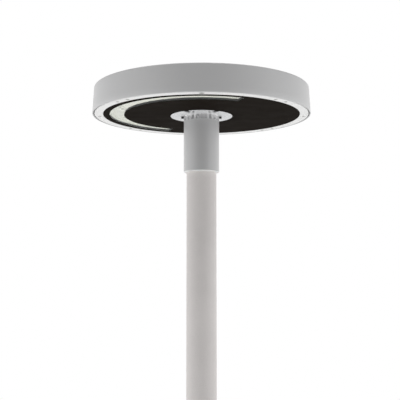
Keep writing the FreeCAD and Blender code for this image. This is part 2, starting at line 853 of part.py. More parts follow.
# ================================================================ light engine and control gear
def reflector_profile(offset):
    """Arched trough section, grown outwards by an offset from its inner surface."""
    low = glass_top + 0.2
    top = low + reflector_height + offset
    half_top = reflector_top_width / 2 + offset
    inner = window_inner_radius - 1 - offset
    outer = window_outer_radius + 1 + offset
    middle = low + 0.55 * reflector_height
    inner_foot = Vector(inner, 0, low)
    inner_belly = Vector(inner + 1.6, 0, middle)
    inner_head = Vector(window_middle_radius - half_top, 0, top)
    outer_head = Vector(window_middle_radius + half_top, 0, top)
    outer_belly = Vector(outer - 1.6, 0, middle)
    outer_foot = Vector(outer, 0, low)
    return Part.Face(Part.Wire([
        Part.Arc(inner_foot, inner_belly, inner_head).toShape(),
        Part.LineSegment(inner_head, outer_head).toShape(),
        Part.Arc(outer_head, outer_belly, outer_foot).toShape(),
        Part.LineSegment(outer_foot, inner_foot).toShape()]))


def reflector_end_margin():
    """Angle taken up by the trough's end walls."""
    return math.degrees(reflector_wall / window_middle_radius)


def reflector_reach():
    """Radii between which the trough passes down through the tray."""
    return (window_inner_radius - 1 - reflector_wall, window_outer_radius + 1 + reflector_wall)


def reflector_top():
    """Level of the trough's outer top face."""
    return glass_top + 0.2 + reflector_height + reflector_wall


def reflector():
    """Half-ring trough of bright sheet with closed ends and flanges that rest on the tray."""
    margin = reflector_end_margin()
    sweep = window_sweep + 2 * margin
    outside = reflector_profile(reflector_wall).revolve(Vector(0, 0, 0), Vector(0, 0, 1), sweep)
    outside.rotate(Vector(0, 0, 0), Vector(0, 0, 1), window_start - margin)
    inside = reflector_profile(0).revolve(Vector(0, 0, 0), Vector(0, 0, 1), window_sweep)
    inside.rotate(Vector(0, 0, 0), Vector(0, 0, 1), window_start)
    inner, outer = reflector_reach()
    flange = window_section(inner - 7, outer + 5, tray_top, tray_top + reflector_wall, 0)
    return joined([outside, flange]).cut(inside)


def board_bottom():
    """Level of the LED board's face that carries the LEDs."""
    return reflector_top() - reflector_wall - board_thickness


def led_board():
    """Half-ring circuit board under the trough's top."""
    half = reflector_top_width / 2 - 1.5
    return window_section(window_middle_radius - half, window_middle_radius + half,
                          board_bottom(), board_bottom() + board_thickness, -0.6)


def led_lenses():
    """Row of domed lenses under the board, one over each LED."""
    dome = Part.makeSphere(lens_radius, Vector(0, 0, board_bottom()))
    dome = dome.common(cylinder(lens_radius + 1, board_bottom() - lens_radius - 1, board_bottom()))
    lenses = []
    for step in range(led_count):
        angle = window_start + (step + 0.5) * window_sweep / led_count
        lenses.append(place_at(dome, window_middle_radius, angle))
    return Part.makeCompound(lenses)


def heat_sinks():
    """Heat sinks with radial fins, end to end along the top of the trough."""
    low = reflector_top()
    inner = window_middle_radius - sink_width / 2
    outer = window_middle_radius + sink_width / 2
    section = [(inner, low), (outer, low), (outer, low + sink_base), (inner, low + sink_base)]
    sweep = window_sweep / sink_count
    sinks = []
    for sink in range(sink_count):
        start = window_start + sink * sweep
        pieces = [turned(section, sweep - 2 * sink_end_gap, start + sink_end_gap)]
        for step in range(fins_per_sink):
            angle = start + 1.5 + step * (sweep - 3.0) / (fins_per_sink - 1)
            fin = block(inner + 1, outer - 1, -fin_thickness / 2, fin_thickness / 2, low + 1, fin_top)
            fin.rotate(Vector(0, 0, 0), Vector(0, 0, 1), angle)
            pieces.append(fin)
        sinks.append(joined(pieces))
    return Part.makeCompound(sinks)


def gear_block(size, place, corner):
    """Rounded box standing on the tray, given as (radial, tangential, height) and (radius, angle)."""
    radial, tangential, height = size
    radius, angle = place
    solid = block(-radial / 2, radial / 2, -tangential / 2, tangential / 2, tray_top, tray_top + height)
    edges = [edge for edge in solid.Edges if edge.BoundBox.ZMax > tray_top + 1]
    return place_at(solid.makeFillet(corner, edges), radius, angle)


def led_driver():
    """LED driver with a mounting foot at each end."""
    body = gear_block(driver_size, driver_place, 3)
    radial, tangential, height = driver_size
    feet = []
    for side in (-1, 1):
        foot = block(-radial / 2 + 8, radial / 2 - 8, -8, 8, tray_top, tray_top + 3)
        foot.translate(Vector(0, side * (tangential / 2 + 4), 0))
        foot = foot.cut(cylinder(2.6, tray_top - 1, tray_top + 5, 0, side * (tangential / 2 + 7)))
        feet.append(place_at(foot, driver_place[0], driver_place[1]))
    return joined([body] + feet)


def gear_screws():
    """Screws through the driver's feet, standing on them."""
    screws = []
    for side in (-1, 1):
        y = side * (driver_size[1] / 2 + 7)
        head = cylinder(4, tray_top + 3, tray_top + 6, 0, y)
        screw = joined([head, cylinder(2.5, tray_top, tray_top + 4, 0, y)])
        screws.append(place_at(screw, driver_place[0], driver_place[1]))
    return Part.makeCompound(screws)


def surge_protector():
    """Surge protector module."""
    return gear_block(surge_size, surge_place, 2.5)


def terminal_block():
    """Lantern terminal block with a row of clamp screws."""
    body = gear_block(terminal_size, terminal_place, 1.5)
    radial, tangential, height = terminal_size
    cutters = []
    for step in range(5):
        y = (step - 2) * tangential / 6
        hole = cylinder(3, tray_top + height - 4, tray_top + height + 1, 0, y)
        cutters.append(place_at(hole, terminal_place[0], terminal_place[1]))
    return body.cut(Part.makeCompound(cutters))


def mains_lead():
    """Lead from the riser's gland over to the terminal block."""
    angle = terminal_place[1]
    face = terminal_place[0] - terminal_size[0] / 2
    high = fin_top - 3.8
    low = tray_top + 12
    points = [Vector(0, 0, spigot_top + 6 + touching_gap), Vector(0, 0, high), polar_point(50, angle, high),
              polar_point(face - 16, angle, low), polar_point(face, angle, low)]
    return cable(points, lead_radius)


def driver_lead():
    """Lead from the terminal block to the driver's near end."""
    start = place_point(terminal_place, 0, terminal_size[1] / 2)
    finish = place_point(driver_place, 0, -driver_size[1] / 2)
    out_start = place_point(terminal_place, 0, terminal_size[1] / 2 + 20)
    out_finish = place_point(driver_place, 0, -driver_size[1] / 2 - 20)
    level = tray_top + 14
    points = [start, out_start, out_finish, finish]
    return cable([Vector(point.x, point.y, level) for point in points], lead_radius)


def place_point(place, radial, tangential):
    """Point given in a gear block's own radial and tangential directions."""
    point = Vector(place[0] + radial, tangential, 0)
    turn = FreeCAD.Rotation(Vector(0, 0, 1), place[1])
    return turn.multVec(point)


def led_lead():
    """Lead from the driver's far end to the trough's end wall."""
    level = tray_top + 16
    start = place_point(driver_place, 0, driver_size[1] / 2)
    out_start = place_point(driver_place, 0, driver_size[1] / 2 + 26)
    finish_angle = window_start - reflector_end_margin()
    finish = polar_point(window_middle_radius, finish_angle, level)
    out_finish = finish.add(polar_point(30, finish_angle - 90, 0))
    middle = polar_point(window_middle_radius - 13.8, 80, level)
    points = [start, out_start, middle, out_finish, finish]
    return cable([Vector(point.x, point.y, level) for point in points], lead_radius)


# ================================================================ canopy and its hinge
def canopy_inner_radius(height):
    """Inner radius of the canopy's drafted wall at a height above the underside."""
    draft = (canopy_radius - canopy_top_radius) / canopy_height
    return canopy_radius - canopy_wall - draft * height


def canopy_outer_body(extra=0.0):
    """Solid inside the canopy's outer surface, with its wall grown outwards by an extra."""
    solid = turned([(0, underside), (canopy_radius + extra, underside),
                    (canopy_top_radius + extra, roof_edge),
                    (0, roof_edge + canopy_crown)])
    edge = [item for item in solid.Edges
            if abs(item.BoundBox.ZMin - roof_edge) < 0.01 and abs(item.BoundBox.ZMax - roof_edge) < 0.01]
    return solid.makeFillet(canopy_edge_radius, edge)


def canopy():
    """Drum-shaped cover with a slightly crowned roof and a stiffening ledge inside."""
    low = ledge_bottom - underside
    high = ledge_top - underside
    roof = canopy_height - canopy_wall
    hollow = turned([(0, underside - 1), (canopy_inner_radius(0), underside - 1),
                     (canopy_inner_radius(0), underside),
                     (canopy_inner_radius(low), ledge_bottom), (ledge_inner_radius, ledge_bottom),
                     (ledge_inner_radius, ledge_top), (canopy_inner_radius(high), ledge_top),
                     (canopy_inner_radius(roof), roof_edge - canopy_wall),
                     (0, roof_edge + canopy_crown - canopy_wall)])
    solid = canopy_outer_body().cut(hollow)
    half = bracket_width / 2 + 2
    solid = solid.cut(block(-half, half, hinge_axis_y - 40, hinge_axis_y, underside - 1, tray_top + 2))
    solid = solid.cut(place_at(cylinder(lock_screw_radius + 1, ledge_bottom - 1, ledge_top + 1),
                               ring_screw_circle, near_side))
    for x in leaf_screw_places():
        solid = solid.cut(leaf_screw_hole(x))
    return solid


def lock_nut():
    """Nut block on the canopy's ledge that the lock screw enters."""
    solid = block(ring_screw_circle - 10, ring_screw_circle + 8, -11, 11, ledge_top, ledge_top + 12)
    hole = cylinder(lock_screw_radius + 0.6, ledge_top - 1, ledge_top + 11, ring_screw_circle, 0)
    solid = solid.cut(hole)
    solid.rotate(Vector(0, 0, 0), Vector(0, 0, 1), near_side)
    return solid


def bracket_start():
    """Y position of the bracket's inner end, in the tray's notch."""
    return hinge_axis_y - 30


def hinge_bracket():
    """Fixed half of the canopy hinge: a plate in the tray's notch with two knuckles."""
    half = bracket_width / 2
    gap_half = centre_knuckle_width / 2 + knuckle_gap
    start = bracket_start() + screw_clearance
    plate = block(-half + screw_clearance, half - screw_clearance, start, hinge_axis_y, ring_top, tray_top)
    knuckle = rod_along(knuckle_radius, Vector(-half + screw_clearance, hinge_axis_y, hinge_axis_z),
                        Vector(1, 0, 0), bracket_width - 2 * screw_clearance)
    solid = joined([plate, knuckle])
    solid = solid.cut(block(-gap_half, gap_half, hinge_axis_y - 7, hinge_axis_y + 20,
                            underside - 5, tray_top + 5))
    bore = hinge_pin_radius + 0.02
    pin_start = Vector(-half - 1, hinge_axis_y, hinge_axis_z)
    solid = solid.cut(rod_along(bore, pin_start, Vector(1, 0, 0), bracket_width + 2))
    hole = cylinder(ring_screw_radius + screw_clearance, ring_top - 1, tray_top + 1)
    return solid.cut(place_at(hole, ring_screw_circle, far_side))


def hinge_pin():
    """Hinge pin with a small head at each end."""
    half = bracket_width / 2
    start = Vector(-half - 1, hinge_axis_y, hinge_axis_z)
    shaft = rod_along(hinge_pin_radius, start, Vector(1, 0, 0), bracket_width + 2)
    head = rod_along(3.6, Vector(-half - 1.6, hinge_axis_y, hinge_axis_z), Vector(1, 0, 0), 1.5)
    tail = rod_along(3.6, Vector(half + 0.1, hinge_axis_y, hinge_axis_z), Vector(1, 0, 0), 1.5)
    return joined([shaft, head, tail])


def hinge_leaf():
    """Moving half of the canopy hinge: a pad on the wall with one knuckle below it."""
    half = leaf_width / 2
    low = underside + 14
    pad = rounded_block(half, canopy_radius - 12, hinge_axis_y + 1, low, low + 22, 4)
    pad = pad.cut(canopy_outer_body(seated_gap))
    knuckle_half = centre_knuckle_width / 2
    arm = block(-knuckle_half, knuckle_half, hinge_axis_y - 3.5, hinge_axis_y + 4, hinge_axis_z + 1, low + 6)
    knuckle = rod_along(knuckle_radius, Vector(-knuckle_half, hinge_axis_y, hinge_axis_z), Vector(1, 0, 0),
                        centre_knuckle_width)
    solid = joined([pad, arm, knuckle])
    bore = hinge_pin_radius + hinge_running_clearance
    solid = solid.cut(rod_along(bore, Vector(-half, hinge_axis_y, hinge_axis_z), Vector(1, 0, 0), leaf_width))
    for x in leaf_screw_places():
        solid = solid.cut(leaf_screw_hole(x))
    return solid


def leaf_screw_places():
    """X positions of the screws that hold the leaf on the canopy."""
    return (-18.0, 18.0)


def leaf_screw_hole(x):
    """Cutter along Y for one leaf screw."""
    start = Vector(x, canopy_radius - 25, underside + 27)
    return rod_along(2.5 + screw_clearance, start, Vector(0, 1, 0), 50)


def leaf_screws():
    """Domed screws outside the leaf with nuts inside the wall."""
    screws = []
    outside = hinge_axis_y + 1
    for x in leaf_screw_places():
        start = Vector(x, outside, underside + 27)
        head = Part.makeCone(4.4, 3.2, 2.4, start, Vector(0, 1, 0))
        inner_wall = math.sqrt(canopy_inner_radius(27) ** 2 - (abs(x) + 5) ** 2) - 0.4
        start = Vector(x, inner_wall - 6, underside + 27)
        shaft = rod_along(2.5, start, Vector(0, 1, 0), outside - inner_wall + 7)
        nut = rod_along(4.4, Vector(x, inner_wall - 4, underside + 27), Vector(0, 1, 0), 4)
        screws.append(joined([head, shaft, nut]))
    return Part.makeCompound(screws)


# ================================================================ write every node
def main():
    """Build every sub-part and write its STEP file."""
    os.makedirs("parts", exist_ok=True)
    makers = [
        base_plate, base_weld, pole_base, pole_shaft, joint_weld, door_frame, lock_bracket, earth_stud,
        fuse_rail, fuse_box, fuse_box_cover, fuse_box_screws, fuse_terminals, fuse_carrier, fuse_glands,
        riser_cable,
        door_panel, door_tongue, door_lock,
        sleeve, set_screws, sleeve_seal, neck_collar, hub_casting, hub_plate, hub_screws, hub_clamp_ring,
        hub_bolts, neck_bolts, riser_gland, trim_ring, ring_screws, canopy_lock_screw, cover_glass,
        glass_print, glass_bond, hub_seal, base_tray, canopy_gasket, reflector, led_board, led_lenses,
        heat_sinks, led_driver, gear_screws, surge_protector, terminal_block, mains_lead, driver_lead,
        led_lead, hinge_bracket, hinge_pin,
        canopy, lock_nut, hinge_leaf, leaf_screws,
    ]
    for make in makers:
        export(make(), make.__name__)


main()
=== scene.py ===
import math

import bmesh
import bpy
import numpy as np
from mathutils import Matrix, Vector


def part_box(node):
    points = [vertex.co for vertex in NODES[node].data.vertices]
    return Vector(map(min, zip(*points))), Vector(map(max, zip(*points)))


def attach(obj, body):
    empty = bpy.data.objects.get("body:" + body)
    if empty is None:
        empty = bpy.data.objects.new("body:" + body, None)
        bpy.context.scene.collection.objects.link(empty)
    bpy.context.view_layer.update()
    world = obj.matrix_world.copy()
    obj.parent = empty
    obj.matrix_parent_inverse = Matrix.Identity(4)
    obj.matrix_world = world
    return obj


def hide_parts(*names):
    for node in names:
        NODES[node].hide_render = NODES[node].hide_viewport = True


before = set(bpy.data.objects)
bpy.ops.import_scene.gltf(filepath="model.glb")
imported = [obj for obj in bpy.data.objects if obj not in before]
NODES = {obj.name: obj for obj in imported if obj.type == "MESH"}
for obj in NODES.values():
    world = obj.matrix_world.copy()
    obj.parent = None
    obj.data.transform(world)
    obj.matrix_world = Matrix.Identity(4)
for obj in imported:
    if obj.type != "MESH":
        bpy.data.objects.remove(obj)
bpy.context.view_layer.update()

bl_info = {
    "name": "Post-top street lamp",
    "version": (1, 0, 0),
    "blender": (4, 5, 0),
    "location": "View3D > Sidebar > Street lamp",
    "description": "Finishes and fine pieces of a post-top street lamp",
    "category": "Object",
}

TURN = 2.0 * math.pi

# places that a node's box doesn't give, in metres and degrees
SCREW_CIRCLE = 0.261          # the ring screws and the canopy's lock screw
HUB_SCREW_CIRCLE = 0.0655     # the four small screws of the hub plate
COLLAR_BORE = 0.0341
BOARD_HALF_WIDTH = 0.0075
WINDOW_START, WINDOW_SWEEP = 113.5, 181.5
LEDGE_REACH = 0.0045          # the ledge's inner edge, in from the gasket's outside
LEDGE_SLOT = 0.2665           # the ledge's inner edge beside the lock screw
LEDGE_SLOT_HALF_WIDTH = 0.005
HINGE_ROOM = 0.0021           # play beside the hinge bracket
LIP_ROOM = 0.002              # play between the raised lip and the tray
TOUCHING_GAP = 0.0003
HOLD = 0.0004                 # how near a row of points stands to an edge to keep it crisp
EDGE_BREAK = 0.0003           # broken edge of a turned or drilled part
WELD_CAP = 0.0012             # height of a weld bead above the tube
WELD_ROOT = 0.0002            # how deep a weld bead's root lies in the tube
WELD_LEAN = 2.2               # how far a ripple's crest leans, in radians of the wave
FILLET_SWELL = 0.12           # swell of the fillet bead, as a share of its leg
COLLAR_INSET = 0.0001         # how far the flutes' crests stand in from the sleeve
TIP = 0.0004                  # chamfer at the end of a shaft
HEAD_ROUND = 0.0006           # rounded edge of an upright screw head
PLASTICS = {
    "grey_plastic": (0.30, 0.31, 0.32),
    "white_plastic": (0.76, 0.76, 0.74),
    "orange_plastic": (0.72, 0.25, 0.05),
}
SHEATHS = {
    "riser_sheath": (0.035, 0.035, 0.037),
    "lead_sheath": (0.30, 0.30, 0.31),
}


def low(node):
    """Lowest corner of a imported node's box."""
    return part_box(node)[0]


def high(node):
    """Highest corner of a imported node's box."""
    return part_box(node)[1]


# ----------------------------------------------------------------
# sizes and colours a user may change
class StreetLampSizes(bpy.types.PropertyGroup):
    """Sizes of the fine pieces, in metres."""

    wall: bpy.props.FloatProperty(
        name="Canopy wall", description="Thickness of the canopy's sheet",
        default=0.0029, unit="LENGTH")
    draft: bpy.props.FloatProperty(
        name="Wall draft",
        description="How far the canopy's wall leans in from its lip to its roof",
        default=0.0039, unit="LENGTH")
    crown: bpy.props.FloatProperty(
        name="Roof crown", description="Rise of the canopy's roof from its edge to its middle",
        default=0.003, unit="LENGTH")
    roof_round: bpy.props.FloatProperty(
        name="Roof edge", description="Radius of the canopy's upper edge",
        default=0.003, unit="LENGTH")
    lip_round: bpy.props.FloatProperty(
        name="Lower lip", description="Radius of the canopy's lower lip",
        default=0.0007, unit="LENGTH")
    ledge: bpy.props.FloatProperty(
        name="Ledge", description="Thickness of the stiffening ledge inside the canopy",
        default=0.003, unit="LENGTH")
    flutes: bpy.props.IntProperty(
        name="Flutes", description="Number of flutes round the collar", default=21, min=3)
    flute_depth: bpy.props.FloatProperty(
        name="Flute depth", description="Depth of each flute in the collar",
        default=0.002, unit="LENGTH")
    lens_radius: bpy.props.FloatProperty(
        name="Lens radius", description="Radius of each lens on the board",
        default=0.005, unit="LENGTH")
    lens_count: bpy.props.IntProperty(
        name="Lenses", description="Number of lenses along the board", default=30, min=1)
    weld_ripple: bpy.props.FloatProperty(
        name="Weld ripple", description="Height of the ripples along a weld bead",
        default=0.00035, unit="LENGTH")
    floor_radius: bpy.props.FloatProperty(
        name="Floor radius", description="Radius of the floor round the post",
        default=4.5, unit="LENGTH")


class StreetLampColours(bpy.types.PropertyGroup):
    """Colours of the main finishes."""

    post: bpy.props.FloatVectorProperty(
        name="Post", description="Powder coat of the post", subtype="COLOR",
        default=(0.655, 0.626, 0.613), min=0.0, max=1.0)
    lantern: bpy.props.FloatVectorProperty(
        name="Lantern", description="Satin paint of the canopy and sleeve", subtype="COLOR",
        default=(0.485, 0.485, 0.488), min=0.0, max=1.0)
    ring: bpy.props.FloatVectorProperty(
        name="Ring", description="Powder coat of the trim ring", subtype="COLOR",
        default=(0.71, 0.71, 0.705), min=0.0, max=1.0)
    hub: bpy.props.FloatVectorProperty(
        name="Hub", description="Speckled coat of the hub plate", subtype="COLOR",
        default=(0.62, 0.625, 0.635), min=0.0, max=1.0)
    enamel: bpy.props.FloatVectorProperty(
        name="Glass print", description="Ceramic print on the cover glass", subtype="COLOR",
        default=(0.011, 0.0085, 0.0065), min=0.0, max=1.0)


# ----------------------------------------------------------------
# material helpers
class Finish:
    """One material with a principled shader and a shared set of object coordinates."""

    def __init__(self, name, **sockets):
        self.material = bpy.data.materials.new(name)
        self.material.use_nodes = True
        self.tree = self.material.node_tree
        self.shader = next(n for n in self.tree.nodes if n.type == "BSDF_PRINCIPLED")
        self.place = self.tree.nodes.new("ShaderNodeTexCoord").outputs["Object"]
        for socket, value in sockets.items():
            self.shader.inputs[socket.replace("_", " ")].default_value = value

    def stretched(self, scale):
        """Object coordinates scaled along each axis."""
        mapping = self.tree.nodes.new("ShaderNodeMapping")
        mapping.inputs["Scale"].default_value = scale
        self.tree.links.new(self.place, mapping.inputs["Vector"])
        return mapping.outputs["Vector"]

    def cloud(self, scale, detail=3.0, rough=0.5, stretch=None):
        """Noise whose value runs from 0 to 1."""
        noise = self.tree.nodes.new("ShaderNodeTexNoise")
        noise.inputs["Scale"].default_value = scale
        noise.inputs["Detail"].default_value = detail
        noise.inputs["Roughness"].default_value = rough
        source = self.stretched(stretch) if stretch else self.place
        self.tree.links.new(source, noise.inputs["Vector"])
        return noise.outputs["Fac"]

    def cells(self, scale, feature="F1"):
        """Distance to the nearest point of a scattered set, or to the edge between two."""
        cell = self.tree.nodes.new("ShaderNodeTexVoronoi")
        cell.feature = feature
        cell.inputs["Scale"].default_value = scale
        self.tree.links.new(self.place, cell.inputs["Vector"])
        return cell.outputs["Distance"]

    def spread(self, value, start, end, first, last):
        """Value carried from the range start to end into the range first to last."""
        span = self.tree.nodes.new("ShaderNodeMapRange")
        ends = {"From Min": start, "From Max": end, "To Min": first, "To Max": last}
        for socket, number in ends.items():
            span.inputs[socket].default_value = number
        self.tree.links.new(value, span.inputs["Value"])
        return span.outputs["Result"]

    def tint(self, value, stops):
        """Colour picked along a ramp of (position, colour) stops."""
        ramp = self.tree.nodes.new("ShaderNodeValToRGB")
        elements = ramp.color_ramp.elements
        while len(elements) < len(stops):
            elements.new(0.5)
        for element, (position, colour) in zip(elements, stops):
            element.position = position
            element.color = (*colour, 1.0)
        self.tree.links.new(value, ramp.inputs["Fac"])
        return ramp.outputs["Color"]

    def blend(self, amount, first, second):
        """Two patterns mixed by a fixed amount."""
        mix = self.tree.nodes.new("ShaderNodeMix")
        mix.inputs[0].default_value = amount
        self.tree.links.new(first, mix.inputs[2])
        self.tree.links.new(second, mix.inputs[3])
        return mix.outputs[0]

    def colour(self, value, stops):
        """Base colour picked along a ramp."""
        self.tree.links.new(self.tint(value, stops), self.shader.inputs["Base Color"])

    def roughness(self, value, first, last, start=0.3, end=0.7):
        """Roughness that runs from first to last as the value runs from start to end."""
        output = self.spread(value, start, end, first, last)
        self.tree.links.new(output, self.shader.inputs["Roughness"])

    def relief(self, height, depth, strength=1.0, after=None):
        """Bump of a given depth in metres, on top of another bump where one is given."""
        bump = self.tree.nodes.new("ShaderNodeBump")
        bump.inputs["Distance"].default_value = depth
        bump.inputs["Strength"].default_value = strength
        self.tree.links.new(height, bump.inputs["Height"])
        if after is not None:
            self.tree.links.new(after, bump.inputs["Normal"])
        self.tree.links.new(bump.outputs["Normal"], self.shader.inputs["Normal"])
        return bump.outputs["Normal"]


def shade(colour, factor):
    """Colour made lighter or darker by a factor, kept within 0 to 1."""
    return tuple(min(1.0, max(0.0, part * factor)) for part in colour)


# ----------------------------------------------------------------
# finishes
def post_coat(colour):
    """Fine-textured warm grey powder coat: fine grain in colour and relief, faint cloudy wear."""
    finish = Finish("post_coat", Metallic=0.0, Specular_IOR_Level=0.45)
    grain = finish.cloud(900.0, 2.0)
    clouds = finish.cloud(9.0, 4.0)
    mixed = finish.blend(0.35, grain, clouds)
    finish.colour(mixed, [(0.30, shade(colour, 0.86)), (0.52, colour), (0.75, shade(colour, 1.10))])
    finish.roughness(clouds, 0.50, 0.62)
    first = finish.relief(finish.cloud(1400.0, 2.0), 0.00025, 0.55)
    finish.relief(finish.cloud(260.0, 2.0), 0.0004, 0.25, first)
    return finish.material


def lantern_paint(colour):
    """Satin silver-grey paint: tiny metal flakes, slight orange peel, faint handling marks."""
    finish = Finish("lantern_paint", Metallic=0.15, Coat_Weight=0.25, Coat_Roughness=0.28)
    flakes = finish.cells(2600.0)
    clouds = finish.cloud(5.0, 3.0)
    mixed = finish.blend(0.5, flakes, clouds)
    finish.colour(mixed, [(0.20, shade(colour, 0.95)), (0.50, colour), (0.80, shade(colour, 1.05))])
    finish.roughness(clouds, 0.36, 0.44)
    finish.relief(finish.cloud(420.0, 2.0), 0.00012, 0.25)
    return finish.material


def ring_coat(colour):
    """Light grey powder coat with a fine grain and scattered darker specks."""
    finish = Finish("ring_coat", Metallic=0.0, Specular_IOR_Level=0.4)
    grain = finish.cloud(520.0, 4.0, 0.7)
    finish.colour(grain, [(0.30, shade(colour, 0.72)), (0.47, colour), (0.72, shade(colour, 1.12))])
    finish.roughness(finish.cloud(30.0), 0.46, 0.60)
    finish.relief(finish.cloud(1500.0, 2.0), 0.0002, 0.4)
    return finish.material


def hub_coat(colour):
    """Off-white coat with fine dark speckles and a slight relief."""
    finish = Finish("hub_coat", Metallic=0.25, Coat_Weight=0.35, Coat_Roughness=0.15)
    speckle = finish.cells(260.0)
    grain = finish.cloud(330.0, 4.0, 0.8)
    mixed = finish.blend(0.55, speckle, grain)
    finish.colour(mixed, [(0.24, shade(colour, 0.5)), (0.34, shade(colour, 0.88)),
                          (0.50, colour), (0.72, shade(colour, 1.28))])
    finish.roughness(grain, 0.42, 0.60)
    finish.relief(grain, 0.0002, 0.5)
    return finish.material


def weld_coat(colour):
    """Powder coat over a weld bead, with small pits."""
    finish = Finish("weld_coat", Metallic=0.0, Specular_IOR_Level=0.45)
    grain = finish.cloud(700.0, 3.0)
    finish.colour(grain, [(0.3, shade(colour, 0.78)), (0.55, shade(colour, 0.94)), (0.8, colour)])
    finish.roughness(grain, 0.5, 0.66)
    finish.relief(finish.cells(450.0), 0.0003, 0.35)
    return finish.material


def cast_metal():
    """Bare die-cast aluminium with a soft mottled grain."""
    finish = Finish("cast_metal", Metallic=1.0)
    grain = finish.cloud(180.0, 5.0, 0.65)
    finish.colour(grain, [(0.3, (0.50, 0.50, 0.51)), (0.7, (0.66, 0.66, 0.67))])
    finish.roughness(grain, 0.38, 0.56)
    finish.relief(finish.cloud(650.0, 3.0), 0.00025, 0.35)
    return finish.material


def satin_metal(colour):
    """Satin lacquer over a turned and fluted collar: fine rings of tool marks round the post's
    axis under a gloss coat."""
    finish = Finish("satin_metal", Metallic=0.55, Coat_Weight=1.0, Coat_Roughness=0.1)
    marks = finish.cloud(40.0, 3.0, 0.6, (1.0, 1.0, 60.0))
    finish.colour(marks, [(0.3, shade(colour, 1.08)), (0.7, shade(colour, 1.2))])
    finish.roughness(marks, 0.18, 0.26)
    finish.relief(marks, 0.00005, 0.2)
    return finish.material


def rolled_sheet():
    """Rolled aluminium sheet with long faint rolling lines."""
    finish = Finish("rolled_sheet", Metallic=1.0)
    lines = finish.cloud(30.0, 4.0, 0.6, (1.0, 40.0, 1.0))
    finish.colour(lines, [(0.3, (0.60, 0.60, 0.61)), (0.7, (0.72, 0.72, 0.73))])
    finish.roughness(lines, 0.28, 0.44)
    finish.relief(lines, 0.00004, 0.3)
    return finish.material


def bright_sheet():
    """Bright anodised reflector sheet: near mirror, with a faint haze and tiny hammered facets."""
    finish = Finish("bright_sheet", Metallic=0.2)
    haze = finish.cloud(25.0, 3.0)
    finish.colour(haze, [(0.3, (0.955, 0.962, 0.90)), (0.7, (0.985, 0.99, 0.945))])
    finish.roughness(haze, 0.30, 0.38)
    finish.relief(finish.cloud(60.0, 1.0), 0.0002, 0.08)
    return finish.material


def sink_metal():
    """Extruded aluminium with saw-cut ends."""
    finish = Finish("sink_metal", Metallic=1.0)
    lines = finish.cloud(60.0, 3.0, 0.6, (1.0, 1.0, 18.0))
    finish.colour(lines, [(0.3, (0.50, 0.50, 0.52)), (0.7, (0.64, 0.64, 0.66))])
    finish.roughness(lines, 0.36, 0.52)
    finish.relief(lines, 0.00006, 0.4)
    return finish.material


def stainless_steel():
    """Stainless fasteners with fine turning marks."""
    finish = Finish("stainless_steel", Metallic=1.0)
    marks = finish.cloud(600.0, 3.0, 0.6, (1.0, 1.0, 5.0))
    finish.colour(marks, [(0.3, (0.34, 0.335, 0.325)), (0.7, (0.47, 0.465, 0.45))])
    finish.roughness(marks, 0.22, 0.36)
    finish.relief(marks, 0.00003, 0.4)
    return finish.material


def black_steel():
    """Black zinc-plated screws, slightly rubbed."""
    finish = Finish("black_steel", Metallic=0.6)
    rub = finish.cloud(900.0, 3.0)
    finish.colour(rub, [(0.35, (0.020, 0.020, 0.021)), (0.75, (0.075, 0.075, 0.078))])
    finish.roughness(rub, 0.30, 0.46)
    finish.relief(rub, 0.00005, 0.4)
    return finish.material


def zinc_coat():
    """Hot-dip galvanised steel: large soft spangles."""
    finish = Finish("zinc_coat", Metallic=1.0)
    spangle = finish.cells(130.0)
    finish.colour(spangle, [(0.1, (0.46, 0.47, 0.48)), (0.6, (0.62, 0.63, 0.64))])
    finish.roughness(spangle, 0.34, 0.56, start=0.0)
    finish.relief(finish.cloud(300.0, 3.0), 0.0001, 0.3)
    return finish.material


def turned_brass():
    """Turned brass, dulled in patches."""
    finish = Finish("turned_brass", Metallic=1.0)
    dull = finish.cloud(300.0, 3.0)
    finish.colour(dull, [(0.3, (0.56, 0.40, 0.17)), (0.7, (0.76, 0.58, 0.28))])
    finish.roughness(dull, 0.22, 0.40)
    finish.relief(finish.cloud(900.0, 2.0), 0.00003, 0.3)
    return finish.material


def float_glass():
    """Clear toughened glass with a low-reflection coat and a faint film of dust."""
    finish = Finish("float_glass", Base_Color=(0.90, 0.95, 0.92, 1.0), Alpha=0.07, IOR=1.45,
                    Specular_IOR_Level=0.3)
    film = finish.cloud(14.0, 4.0)
    finish.roughness(film, 0.0, 0.05, start=0.35, end=0.75)
    finish.relief(finish.cloud(6.0, 1.0), 0.0002, 0.05)
    return finish.material


def glass_enamel(colour):
    """Black ceramic print, fine and even, with a faint warm cloudiness."""
    finish = Finish("glass_enamel", Metallic=0.0, Specular_IOR_Level=0.1, IOR=1.08)
    grain = finish.cloud(700.0, 3.0)
    finish.colour(grain, [(0.3, shade(colour, 0.7)), (0.6, colour), (0.85, shade(colour, 1.7))])
    finish.roughness(finish.cloud(20.0), 0.52, 0.62)
    finish.relief(grain, 0.00003, 0.3)
    return finish.material


def black_rubber():
    """Moulded rubber with a dull bloom."""
    finish = Finish("black_rubber", Metallic=0.0, Specular_IOR_Level=0.35)
    bloom = finish.cloud(160.0, 4.0)
    finish.colour(bloom, [(0.3, (0.016, 0.016, 0.017)), (0.75, (0.045, 0.045, 0.046))])
    finish.roughness(bloom, 0.62, 0.82)
    finish.relief(finish.cloud(1200.0, 2.0), 0.0001, 0.4)
    return finish.material


def pale_silicone():
    """Light grey silicone seal."""
    finish = Finish("pale_silicone", Metallic=0.0, Subsurface_Weight=0.05)
    bloom = finish.cloud(200.0, 3.0)
    finish.colour(bloom, [(0.3, (0.66, 0.66, 0.65)), (0.7, (0.76, 0.76, 0.75))])
    finish.roughness(bloom, 0.45, 0.6)
    finish.relief(bloom, 0.0001, 0.3)
    return finish.material


